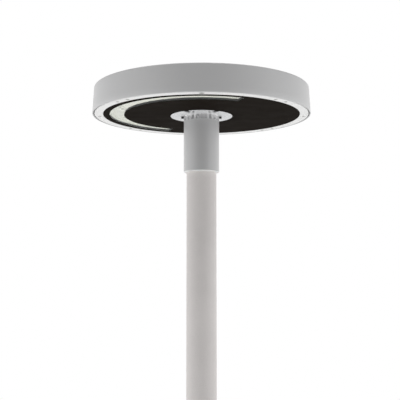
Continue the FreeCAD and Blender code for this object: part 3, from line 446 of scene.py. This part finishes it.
def board_mask():
    """White solder mask with a fine grain and faint copper lines beneath it."""
    finish = Finish("board_mask", Metallic=0.0, Coat_Weight=0.2, Coat_Roughness=0.25)
    traces = finish.cells(120.0, "DISTANCE_TO_EDGE")
    finish.colour(traces, [(0.02, (0.86, 0.87, 0.82)), (0.07, (0.94, 0.945, 0.90))])
    finish.roughness(finish.cloud(300.0), 0.40, 0.52)
    finish.relief(traces, 0.00005, 0.4)
    return finish.material


def lens_acrylic():
    """Clear moulded acrylic lens."""
    finish = Finish("lens_acrylic", Base_Color=(0.98, 0.985, 0.94, 1.0), Alpha=0.22, IOR=1.49)
    flow = finish.cloud(180.0, 2.0)
    finish.roughness(flow, 0.03, 0.10)
    finish.relief(flow, 0.00005, 0.2)
    return finish.material


def moulded_plastic(name):
    """Moulded plastic with a fine spark-eroded texture."""
    colour = PLASTICS[name]
    finish = Finish(name, Metallic=0.0, Specular_IOR_Level=0.45)
    grain = finish.cloud(420.0, 3.0)
    finish.colour(grain, [(0.3, shade(colour, 0.92)), (0.7, shade(colour, 1.05))])
    finish.roughness(grain, 0.40, 0.55)
    finish.relief(finish.cloud(1600.0, 2.0), 0.00012, 0.45)
    return finish.material


def cable_sheath(name):
    """Rubber or plastic cable sheath with a faint lay of the cores beneath."""
    colour = SHEATHS[name]
    finish = Finish(name, Metallic=0.0, Specular_IOR_Level=0.4)
    lay = finish.cloud(140.0, 2.0, 0.5, (1.0, 1.0, 0.3))
    finish.colour(lay, [(0.3, shade(colour, 0.8)), (0.7, shade(colour, 1.25))])
    finish.roughness(lay, 0.45, 0.62)
    finish.relief(finish.cloud(900.0, 2.0), 0.00008, 0.3)
    return finish.material


# ----------------------------------------------------------------
# surfaces worked out with numpy
def grid_mesh(name, points, closed_u, closed_v):
    """Mesh over one grid of points (rows, columns, 3), or a stack of like grids: each cell is one
    four-sided face, joined round where closed."""
    points = points.reshape(-1, *points.shape[-3:])
    count, rows, columns = points.shape[:3]
    row = np.arange(rows if closed_u else rows - 1)
    column = np.arange(columns if closed_v else columns - 1)
    g, r, c = np.meshgrid(np.arange(count) * rows * columns, row, column, indexing="ij")
    r2 = (r + 1) % rows
    c2 = (c + 1) % columns
    corners = [g + r * columns + c, g + r * columns + c2,
               g + r2 * columns + c2, g + r2 * columns + c]
    faces = np.stack(corners, axis=-1).reshape(-1, 4)
    mesh = bpy.data.meshes.new(name)
    mesh.vertices.add(count * rows * columns)
    mesh.vertices.foreach_set("co", points.reshape(-1).astype(np.float32))
    mesh.loops.add(faces.size)
    mesh.loops.foreach_set("vertex_index", faces.reshape(-1).astype(np.int32))
    mesh.polygons.add(len(faces))
    mesh.polygons.foreach_set("loop_start", np.arange(0, faces.size, 4, dtype=np.int32))
    mesh.polygons.foreach_set("loop_total", np.full(len(faces), 4, np.int32))
    mesh.update(calc_edges=True)
    mesh.validate()
    return mesh


def finished(mesh, material, body, replaced, crease=30.0):
    """Object made from a mesh: doubles merged, faces turned outwards, edges sharper than the
    crease kept sharp, riding on its body."""
    work = bmesh.new()
    work.from_mesh(mesh)
    bmesh.ops.remove_doubles(work, verts=work.verts, dist=1e-6)
    bmesh.ops.dissolve_degenerate(work, edges=work.edges, dist=1e-7)
    bmesh.ops.recalc_face_normals(work, faces=work.faces)
    for face in work.faces:
        face.smooth = True
    limit = math.radians(crease)
    for edge in work.edges:
        edge.smooth = len(edge.link_faces) == 2 and edge.calc_face_angle(math.pi) < limit
    work.to_mesh(mesh)
    work.free()
    piece = bpy.data.objects.new(mesh.name, mesh)
    bpy.context.scene.collection.objects.link(piece)
    mesh.materials.append(material)
    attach(piece, body)
    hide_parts(replaced)


def arc(centre, radius, first, last, count):
    """Points of an arc in a (radius, height) profile: centre plus radius times the cosine and
    sine of an even run of angles in degrees."""
    angles = np.radians(np.linspace(first, last, count))
    return np.asarray(centre) + radius * np.stack([np.cos(angles), np.sin(angles)], axis=-1)


def profile(*parts):
    """One (radius, height) profile from points and arcs in order."""
    return np.concatenate([np.atleast_2d(np.asarray(part, float)) for part in parts])


def around(radius, height, turn):
    """Points at a radius, height and turn: x is the radius times the cosine of the turn, y the
    radius times its sine."""
    radius, height, turn = np.broadcast_arrays(radius, height, turn)
    return np.stack([radius * np.cos(turn), radius * np.sin(turn), height], axis=-1)


def placed(points, radius, angles):
    """Copies of a grid made about the origin, each moved out to the radius and round to its
    angle in degrees."""
    turn = np.radians(np.asarray(angles, float))[:, None, None]
    out = points[None, :, :, 0] + radius
    side = points[None, :, :, 1]
    level = points[None, :, :, 2] + 0.0 * turn
    return np.stack([out * np.cos(turn) - side * np.sin(turn),
                     out * np.sin(turn) + side * np.cos(turn), level], axis=-1)


def socket_screw(outline, across, depth, face):
    """Screw whose face looks down: the outline is carried round an upright axis, and the
    socket's radius is half its width over the cosine of the angle from the nearest flat."""
    steps = 36
    turn = np.linspace(0.0, TURN, steps, endpoint=False)[:, None]
    flat = (turn + math.pi / 6) % (math.pi / 3) - math.pi / 6
    hexagon = 0.5 * across / np.cos(flat)
    socket = [(0.0 * turn, face + depth * 1.12), (0.55 * hexagon, face + depth * 1.04),
              (hexagon, face + depth), (hexagon, face + EDGE_BREAK), (hexagon + EDGE_BREAK, face)]
    radius = [part for part, level in socket] + [np.tile(outline[:, 0], (steps, 1))]
    height = [level + 0.0 * turn for part, level in socket] + [np.tile(outline[:, 1], (steps, 1))]
    return around(np.concatenate(radius, axis=1), np.concatenate(height, axis=1), turn)


def paint(nodes, material):
    """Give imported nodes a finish."""
    for node in nodes:
        slots = NODES[node].data.materials
        slots.clear()
        slots.append(material)


def sizes():
    """The scene's group of sizes."""
    return bpy.context.scene.street_lamp_sizes


def colours():
    """The scene's group of colours."""
    return bpy.context.scene.street_lamp_colours


def kept(make, *values):
    """Finish named after its function, made the first time it is asked for."""
    return bpy.data.materials.get(make.__name__) or make(*values)


def named(make, name):
    """One of several finishes made by one function, made the first time it is asked for."""
    return bpy.data.materials.get(name) or make(name)


# ----------------------------------------------------------------
# operators, one for each piece or group
class LAMP_OT_post(bpy.types.Operator):
    """Coat the tubes, the anchor plate and the service door."""

    bl_idname = "street_lamp.post"
    bl_label = "Post"

    def execute(self, context):
        paint(["base_plate", "pole_base", "pole_shaft", "door_panel"],
              kept(post_coat, colours().post))
        paint(["door_lock"], kept(stainless_steel))
        return {"FINISHED"}


class LAMP_OT_welds(bpy.types.Operator):
    """Rippled weld beads at the foot and at the butt joint."""

    bl_idname = "street_lamp.welds"
    bl_label = "Welds"

    def execute(self, context):
        coat = kept(weld_coat, colours().post)
        self.bead("base_weld", "weld_steel", 78, coat)
        self.bead("joint_weld", "pole_paint", 96, coat)
        return {"FINISHED"}

    def bead(self, node, slot, ripples, coat):
        """Bead whose height above the tube is a half wave across it, dented by a wave along it
        whose crest leans with the torch's travel. The fillet at the foot slopes from the plate
        to the tube, and the butt weld lies on the tube."""
        bottom, top, outer = low(node).z, high(node).z, high(node).x
        leg = top - bottom
        fillet = node == "base_weld"
        tube = outer - (leg if fillet else WELD_CAP)
        root = tube - WELD_ROOT
        turn = np.linspace(0.0, TURN, ripples * 8, endpoint=False)[:, None]
        across = np.linspace(0.0, 1.0, 13)[None, :]
        arch = np.sin(math.pi * across)
        wave = 0.5 + 0.5 * np.cos(ripples * turn + WELD_LEAN * arch)
        dent = 1.0 - sizes().weld_ripple / WELD_CAP * wave * arch
        if fillet:
            sunk = FILLET_SWELL * leg * arch * (1.0 - dent)
            radius = np.minimum(tube + leg * (1.0 - across) - sunk, outer)
            height = bottom + leg * across - sunk
        else:
            radius = tube + WELD_CAP * arch * dent
            radius[:, 0] = root
            height = bottom + leg * across + 0.0 * turn
        radius = np.concatenate([radius, np.full_like(turn, root)], axis=1)
        height = np.concatenate([height, np.full_like(turn, bottom)], axis=1)
        points = around(radius, height, turn)
        finished(grid_mesh(node + "_bead", points, True, True), coat, "post", node, 70.0)


class LAMP_OT_service(bpy.types.Operator):
    """Finish the gear behind the service door."""

    bl_idname = "street_lamp.service"
    bl_label = "Service gear"

    def execute(self, context):
        paint(["door_frame", "lock_bracket", "fuse_rail", "door_tongue"], kept(zinc_coat))
        paint(["earth_stud"], kept(turned_brass))
        paint(["fuse_box", "fuse_carrier"], named(moulded_plastic, "grey_plastic"))
        paint(["fuse_box_cover", "fuse_terminals"], named(moulded_plastic, "white_plastic"))
        paint(["fuse_box_screws"], kept(stainless_steel))
        paint(["fuse_glands"], kept(black_rubber))
        return {"FINISHED"}


class LAMP_OT_canopy(bpy.types.Operator):
    """Canopy shell with a drafted wall, crowned roof, rounded edge and lip, and a ledge inside."""

    bl_idname = "street_lamp.canopy"
    bl_label = "Canopy"

    def execute(self, context):
        coat = kept(lantern_paint, colours().lantern)
        paint(["hinge_leaf"], coat)
        mesh = grid_mesh("canopy_shell", self.shell(), True, False)
        finished(mesh, coat, "canopy", "canopy")
        return {"FINISHED"}

    def turns(self, base, over_hinge, ledge):
        """Turn, lip level and ledge radius row by row: the lip steps up over the hinge and the
        ledge steps back at the lock screw, each step on two rows at one turn."""
        rim = high("canopy").x
        hinge = math.degrees(math.asin((high("hinge_bracket").x + HINGE_ROOM) / rim))
        screw = math.degrees(math.asin(LEDGE_SLOT_HALF_WIDTH / SCREW_CIRCLE))
        runs = [(90 + hinge, 270 - screw, 130, base, ledge),
                (270 - screw, 270 + screw, 4, base, LEDGE_SLOT),
                (270 + screw, 450 - hinge, 130, base, ledge),
                (450 - hinge, 450 + hinge, 11, over_hinge, ledge)]
        rows = []
        for first, last, count, lip, reach in runs:
            turn = np.radians(np.linspace(first, last, count))
            rows.append(np.stack(np.broadcast_arrays(turn, lip, reach)))
        return np.concatenate(rows, axis=1)[:, :, None]

    def shell(self):
        """Profile carried round the axis, from the roof's middle down the wall, round the lip
        and back up inside. The roof falls with the square of the radius; the wall leans in
        evenly with height."""
        size = sizes()
        rim, base = high("canopy").x, low("canopy").z
        edge = high("canopy").z - size.crown
        lean = size.draft / (edge - base)
        over_hinge = high("base_tray").z + LIP_ROOM
        ledge_bottom = high("canopy_gasket").z + TOUCHING_GAP
        ledge = high("canopy_gasket").x - LEDGE_REACH
        turn, lip, reach = self.turns(base, over_hinge, ledge)

        def outer(level):
            return rim - lean * (level - base)

        def roof(radius):
            return edge + size.crown * (1.0 - (radius / rim) ** 2)

        # the corner's centre, moved until its arc meets both the wall and the roof
        tilt = math.atan(lean)
        centre_r, centre_z = outer(edge) - size.roof_round, edge - size.roof_round
        for _ in range(4):
            centre_r = outer(centre_z + size.roof_round * math.sin(tilt)) - size.roof_round
            centre_z = roof(centre_r) - size.roof_round
        corner = arc((centre_r, centre_z), size.roof_round, 89.0, math.degrees(tilt), 10)
        middle = np.linspace(0.0, centre_r - HOLD, 14)
        crown_line = np.stack([middle, roof(middle)], axis=-1)
        hold = corner[-1, 1] - HOLD
        step = over_hinge + size.lip_round
        fixed = profile(crown_line, corner, (outer(hold), hold),
                        (outer(step + HOLD), step + HOLD), (outer(step), step))
        bend = np.radians(np.linspace(0.0, -90.0, 5))[None, :]
        centre = lip + size.lip_round
        lip_outer = (outer(centre) - size.lip_round + size.lip_round * np.cos(bend),
                     centre + size.lip_round * np.sin(bend))
        back = bend[:, ::-1]
        lip_inner = (outer(centre) - size.wall + size.lip_round - size.lip_round * np.cos(back),
                     centre + size.lip_round * np.sin(back))
        top = ledge_bottom + size.ledge
        inside = profile((outer(step) - size.wall, step),
                         (outer(ledge_bottom) - size.wall, ledge_bottom),
                         (LEDGE_SLOT, ledge_bottom))
        above = profile((LEDGE_SLOT, top), (outer(top) - size.wall, top),
                        (outer(edge - size.wall) - size.wall, roof(rim) - size.wall))
        under = middle[::-1] * 0.985  # the roof's underside stops short of the wall's inside
        under_line = np.stack([under, roof(under) - size.wall], axis=-1)
        same = np.ones_like(turn)
        radius = [same * fixed[:, 0], lip_outer[0], lip_inner[0], same * inside[:, 0],
                  reach, reach, same * above[:, 0], same * under_line[:, 0]]
        height = [same * fixed[:, 1], lip_outer[1], lip_inner[1], same * inside[:, 1],
                  same * ledge_bottom, same * top, same * above[:, 1], same * under_line[:, 1]]
        return around(np.concatenate(radius, axis=1), np.concatenate(height, axis=1), turn)


class LAMP_OT_underside(bpy.types.Operator):
    """Trim ring, printed glass and hub plate."""

    bl_idname = "street_lamp.underside"
    bl_label = "Underside"

    def execute(self, context):
        paint(["trim_ring"], kept(ring_coat, colours().ring))
        paint(["hub_plate"], kept(hub_coat, colours().hub))
        paint(["cover_glass"], kept(float_glass))
        paint(["glass_print"], kept(glass_enamel, colours().enamel))
        paint(["glass_bond", "hub_seal", "canopy_gasket"], kept(black_rubber))
        paint(["base_tray"], kept(rolled_sheet))
        return {"FINISHED"}


class LAMP_OT_neck(bpy.types.Operator):
    """Sleeve, fluted collar and the hub casting inside."""

    bl_idname = "street_lamp.neck"
    bl_label = "Neck"

    def execute(self, context):
        paint(["sleeve"], kept(lantern_paint, colours().lantern))
        paint(["sleeve_seal"], kept(pale_silicone))
        paint(["hub_casting", "hub_clamp_ring", "hinge_bracket", "lock_nut"], kept(cast_metal))
        paint(["riser_gland"], kept(black_rubber))
        finished(grid_mesh("fluted_collar", self.collar(), True, True),
                 kept(satin_metal, colours().lantern), "head", "neck_collar", 50.0)
        return {"FINISHED"}

    def collar(self):
        """Fluted collar: the radius dips by a raised cosine of the turn, once for each flute,
        and the flutes fade out in a quarter circle at the top and bottom edge."""
        size = sizes()
        bottom, top = low("neck_collar").z, high("neck_collar").z
        tall = top - bottom
        crest = high("sleeve").x - COLLAR_INSET
        turn = np.linspace(0.0, TURN, size.flutes * 14, endpoint=False)[:, None]
        wave = 0.5 - 0.5 * np.cos(size.flutes * (turn - 1.5 * math.pi))
        level = np.array([[0.0, 0.0004, 0.0012, 0.0024, 0.0105, 0.0118, 0.0126, 0.013]])
        level = level * (tall / level[0, -1])
        run_out = level[0, 3]
        inset = (1.0 - np.minimum(level, tall - level) / run_out).clip(0.0, 1.0)
        radius = crest - size.flute_depth * wave * np.sqrt(1.0 - inset ** 2)
        bore = np.full_like(turn, COLLAR_BORE)
        radius = np.concatenate([radius, bore, bore], axis=1)
        height = np.concatenate([bottom + level, [[top, bottom]]], axis=1)
        return around(radius, height, turn)


class LAMP_OT_light_engine(bpy.types.Operator):
    """Reflector, board, lenses and heat sinks."""

    bl_idname = "street_lamp.light_engine"
    bl_label = "Light engine"

    def execute(self, context):
        paint(["reflector"], kept(bright_sheet))
        paint(["led_board"], kept(board_mask))
        paint(["heat_sinks"], kept(sink_metal))
        finished(grid_mesh("lens_row", self.lenses(), True, False), kept(lens_acrylic),
                 "head", "led_lenses")
        return {"FINISHED"}

    def lenses(self):
        """Row of lenses: across a unit disc the drop below the board is a quarter circle of the
        distance, dented at the middle by a bell curve, and the outline is a little wider along
        the row than across it."""
        size = sizes()
        board = high("led_lenses").z
        depth, dent, dent_width, narrow = 0.92, 0.26, 0.34, 0.84
        turn = np.linspace(0.0, TURN, 20, endpoint=False)[:, None]
        reach = np.sin(np.linspace(0.0, 0.5 * math.pi, 9))[None, :]
        bell = np.exp(-((reach / dent_width) ** 2))
        drop = depth * np.sqrt(1.0 - reach ** 2) * (1.0 - dent * bell)
        reach, drop = np.pad(reach, ((0, 0), (0, 1))), np.pad(drop, ((0, 0), (0, 1)))
        lens = np.stack([narrow * size.lens_radius * reach * np.cos(turn),
                         size.lens_radius * reach * np.sin(turn),
                         board - size.lens_radius * drop + 0.0 * turn], axis=-1)
        middle = -low("led_board").x - BOARD_HALF_WIDTH
        share = (np.arange(size.lens_count) + 0.5) / size.lens_count
        return placed(lens, middle, WINDOW_START + WINDOW_SWEEP * share)


class LAMP_OT_control_gear(bpy.types.Operator):
    """Driver, surge protector and terminals on the tray."""

    bl_idname = "street_lamp.control_gear"
    bl_label = "Control gear"

    def execute(self, context):
        paint(["led_driver"], named(moulded_plastic, "white_plastic"))
        paint(["terminal_block"], named(moulded_plastic, "grey_plastic"))
        paint(["surge_protector"], named(moulded_plastic, "orange_plastic"))
        return {"FINISHED"}


class LAMP_OT_fasteners(bpy.types.Operator):
    """Screws, bolts and the hinge pin."""

    bl_idname = "street_lamp.fasteners"
    bl_label = "Fasteners"

    def execute(self, context):
        steel, black = kept(stainless_steel), kept(black_steel)
        paint(["hub_bolts", "neck_bolts", "gear_screws", "hinge_pin", "leaf_screws"], steel)
        paint(["set_screws"], black)

        face, end = low("ring_screws").z, high("ring_screws").z
        screw = socket_screw(self.countersunk(0.0048, 0.0025, face, end),
                             across=0.004, depth=0.0014, face=face)
        pairs = [middle + side for middle in (45, 135, 225, 315) for side in (-4, 4)]
        self.fit("ring_screw_set", screw, SCREW_CIRCLE, [0, 90, 180, *pairs],
                 steel, "stainless", "ring_screws")

        face, end = low("canopy_lock_screw").z, high("canopy_lock_screw").z
        screw = socket_screw(self.cheese(0.0065, 0.004, face, 0.0038, end),
                             across=0.006, depth=0.0026, face=face)
        self.fit("lock_screw", screw, SCREW_CIRCLE, [270], steel, "stainless", "canopy_lock_screw")

        seat, end = low("hub_plate").z, high("hub_screws").z
        face, head = low("hub_screws").z, 0.0032
        screw = socket_screw(self.cheese(head, 0.002, face, seat - face, end),
                             across=0.0028, depth=0.0025, face=face)
        self.fit("hub_screw_tall", screw, high("hub_screws").x - head, [0, 180],
                 black, "black_steel", "hub_screws")

        height = 0.0012
        screw = socket_screw(self.cheese(0.0028, 0.0015, seat - height, height, end),
                             across=0.0024, depth=0.0006, face=seat - height)
        self.fit("hub_screw_small", screw, HUB_SCREW_CIRCLE, [72.2, 107.8, 252.2, 287.8],
                 black, "black_steel", "hub_screws")
        return {"FINISHED"}

    def fit(self, name, screw, circle, angles, finish, slot, node):
        """Like screws round a circle, as one piece that stands for the node."""
        mesh = grid_mesh(name, placed(screw, circle, angles), True, False)
        finished(mesh, finish, "head", node)

    def countersunk(self, head, shaft, face, end):
        """Outline of a countersunk screw, from its face out, up the cone and along its shaft."""
        return profile((head - HOLD, face),
                       arc((head - EDGE_BREAK, face + EDGE_BREAK), EDGE_BREAK, -90.0, 0.0, 4),
                       (shaft, face + head - shaft + EDGE_BREAK),
                       (shaft, end - TIP), (shaft - TIP, end), (0.0, end))

    def cheese(self, head, shaft, face, height, end):
        """Outline of a screw with an upright head, from its face out, up its side and along
        its shaft."""
        return profile((head - 0.0008, face),
                       arc((head - HEAD_ROUND, face + HEAD_ROUND), HEAD_ROUND, -90.0, 0.0, 5),
                       (head, face + height), (shaft, face + height),
                       (shaft, end - TIP), (shaft - TIP, end), (0.0, end))


class LAMP_OT_cables(bpy.types.Operator):
    """Sheaths of the held cables."""

    bl_idname = "street_lamp.cables"
    bl_label = "Cables"

    def execute(self, context):
        paint(["riser_cable"], named(cable_sheath, "riser_sheath"))
        paint(["mains_lead", "driver_lead", "led_lead"], named(cable_sheath, "lead_sheath"))
        return {"FINISHED"}


class LAMP_OT_stage(bpy.types.Operator):
    """Pale floor, soft light and the camera."""

    bl_idname = "street_lamp.stage"
    bl_label = "Stage"

    # the room's light as (place along the span, brightness) stops
    FROM_FRONT = [(0.0, 0.13), (0.075, 0.34), (0.20, 0.79), (0.42, 1.0), (0.75, 1.0), (1.0, 0.90)]
    WITH_HEIGHT = [(0.0, 1.0), (0.50, 0.92), (0.60, 0.66), (0.71, 0.22), (0.85, 0.24), (0.94, 1.0)]
    # the far ground is dimmer: these two, multiplied, are taken off
    BELOW = [(0.0, 0.0), (0.12, 1.0), (0.46, 1.0), (0.50, 0.0), (1.0, 0.0)]
    BEHIND = [(0.0, 0.0), (1.0, 0.55)]
    STRENGTH = 1.85
    FADE = (0.42, 0.98)  # where the floor begins to fade and is gone, as shares of its radius
    CAMERA_PLACE = (-0.003744, -1.94938, 2.76026)
    CAMERA_TILT = 95.111
    CAMERA_LENS = 69.355

    def execute(self, context):
        self.floor()
        self.sky(context)
        self.camera(context)
        context.scene.view_settings.view_transform = "Standard"
        return {"FINISHED"}

    def floor(self):
        """Flat disc: x and y are the ring's radius times the cosine and sine of the turn, and the
        middle ring has no width."""
        edge = sizes().floor_radius
        radius = np.linspace(0.0, edge, 25)[:, None]
        turn = np.linspace(0.0, TURN, 96, endpoint=False)[None, :]
        mesh = grid_mesh("floor", around(radius, 0.0, turn), False, True)
        work = bmesh.new()
        work.from_mesh(mesh)
        bmesh.ops.remove_doubles(work, verts=work.verts, dist=1e-6)
        bmesh.ops.recalc_face_normals(work, faces=work.faces)
        if sum(face.normal.z for face in work.faces) < 0:
            bmesh.ops.reverse_faces(work, faces=work.faces)
        work.to_mesh(mesh)
        work.free()
        finish = Finish("pale_floor", Metallic=0.0, Specular_IOR_Level=0.2)
        grain = finish.cloud(6.0, 4.0)
        finish.colour(grain, [(0.3, (0.88, 0.88, 0.88)), (0.7, (0.92, 0.92, 0.92))])
        finish.roughness(grain, 0.7, 0.85)
        tree = finish.tree
        length = tree.nodes.new("ShaderNodeVectorMath")
        length.operation = "LENGTH"
        tree.links.new(finish.place, length.inputs[0])
        start, end = self.FADE
        fade = finish.spread(length.outputs["Value"], start * edge, end * edge, 1.0, 0.0)
        tree.links.new(fade, finish.shader.inputs["Alpha"])
        mesh.materials.append(finish.material)
        floor = bpy.data.objects.new("floor", mesh)
        bpy.context.scene.collection.objects.link(floor)

    def sky(self, context):
        """Soft room: white to the eye, its light dimmer from the front and from the far ground."""
        world = bpy.data.worlds.new("soft_room")
        context.scene.world = world
        world.use_nodes = True
        tree = world.node_tree
        tree.nodes.clear()
        new = tree.nodes.new
        place = new("ShaderNodeTexCoord").outputs["Generated"]
        parts = new("ShaderNodeSeparateXYZ")
        tree.links.new(place, parts.inputs["Vector"])

        def ramp(value, start, end, stops):
            """Grey picked along a ramp by a value that runs from start to end."""
            span = new("ShaderNodeMapRange")
            span.inputs["From Min"].default_value = start
            span.inputs["From Max"].default_value = end
            tree.links.new(value, span.inputs["Value"])
            node = new("ShaderNodeValToRGB")
            elements = node.color_ramp.elements
            while len(elements) < len(stops):
                elements.new(0.5)
            for element, (position, grey) in zip(elements, stops):
                element.position = position
                element.color = (grey, grey, grey, 1.0)
            tree.links.new(span.outputs["Result"], node.inputs["Fac"])
            return node.outputs["Color"]

        def product(first, second):
            """Two values multiplied."""
            both = new("ShaderNodeMath")
            both.operation = "MULTIPLY"
            tree.links.new(first, both.inputs[0])
            tree.links.new(second, both.inputs[1])
            return both.outputs["Value"]

        def scalar(operation, number, value, socket):
            """One number and one value joined by an operation, the value at the socket."""
            node = new("ShaderNodeMath")
            node.operation = operation
            node.inputs[1 - socket].default_value = number
            tree.links.new(value, node.inputs[socket])
            return node.outputs["Value"]

        front = ramp(parts.outputs["Y"], -1.0, 1.0, self.FROM_FRONT)
        height = ramp(parts.outputs["Z"], -1.0, 1.0, self.WITH_HEIGHT)
        below = ramp(parts.outputs["Z"], -0.5, 0.5, self.BELOW)
        behind = ramp(parts.outputs["Y"], 0.2, 0.6, self.BEHIND)
        lit = scalar("SUBTRACT", 1.0, product(below, behind), 1)
        total = product(product(front, height), lit)
        light = new("ShaderNodeBackground")
        light.inputs["Color"].default_value = (1.0, 1.0, 1.0, 1.0)
        tree.links.new(scalar("MULTIPLY", self.STRENGTH, total, 0), light.inputs["Strength"])
        seen = new("ShaderNodeBackground")
        seen.inputs["Color"].default_value = (1.0, 1.0, 1.0, 1.0)
        seen.inputs["Strength"].default_value = 1.0
        path = new("ShaderNodeLightPath")
        choose = new("ShaderNodeMixShader")
        tree.links.new(path.outputs["Is Camera Ray"], choose.inputs[0])
        tree.links.new(light.outputs[0], choose.inputs[1])
        tree.links.new(seen.outputs[0], choose.inputs[2])
        out = new("ShaderNodeOutputWorld")
        tree.links.new(choose.outputs[0], out.inputs["Surface"])

    def camera(self, context):
        """Camera below the lantern, turned up a little."""
        data = bpy.data.cameras.new("camera")
        data.lens = self.CAMERA_LENS
        data.sensor_width = 36.0
        data.clip_end = 100.0
        camera = bpy.data.objects.new("camera", data)
        camera.location = self.CAMERA_PLACE
        camera.rotation_euler = (math.radians(self.CAMERA_TILT), 0.0, 0.0)
        context.scene.collection.objects.link(camera)
        context.scene.camera = camera


OPERATORS = [
    LAMP_OT_post, LAMP_OT_welds, LAMP_OT_service, LAMP_OT_canopy, LAMP_OT_underside, LAMP_OT_neck,
    LAMP_OT_light_engine, LAMP_OT_control_gear, LAMP_OT_fasteners, LAMP_OT_cables, LAMP_OT_stage,
]


class LAMP_PT_panel(bpy.types.Panel):
    """Street lamp tools in the sidebar."""

    bl_idname = "LAMP_PT_panel"
    bl_label = "Street lamp"
    bl_space_type = "VIEW_3D"
    bl_region_type = "UI"
    bl_category = "Street lamp"

    def draw(self, context):
        for group in (context.scene.street_lamp_sizes, context.scene.street_lamp_colours):
            column = self.layout.column(align=True)
            for name in group.__annotations__:
                column.prop(group, name)
        for operator in OPERATORS:
            self.layout.operator(operator.bl_idname)


CLASSES = [StreetLampSizes, StreetLampColours, *OPERATORS, LAMP_PT_panel]


def register():
    for item in CLASSES:
        bpy.utils.register_class(item)
    bpy.types.Scene.street_lamp_sizes = bpy.props.PointerProperty(type=StreetLampSizes)
    bpy.types.Scene.street_lamp_colours = bpy.props.PointerProperty(type=StreetLampColours)


def unregister():
    del bpy.types.Scene.street_lamp_colours
    del bpy.types.Scene.street_lamp_sizes
    for item in reversed(CLASSES):
        bpy.utils.unregister_class(item)


def main():
    register()
    for operator in OPERATORS:
        group, name = operator.bl_idname.split(".")
        getattr(getattr(bpy.ops, group), name)()


if __name__ == "__main__":
    main()
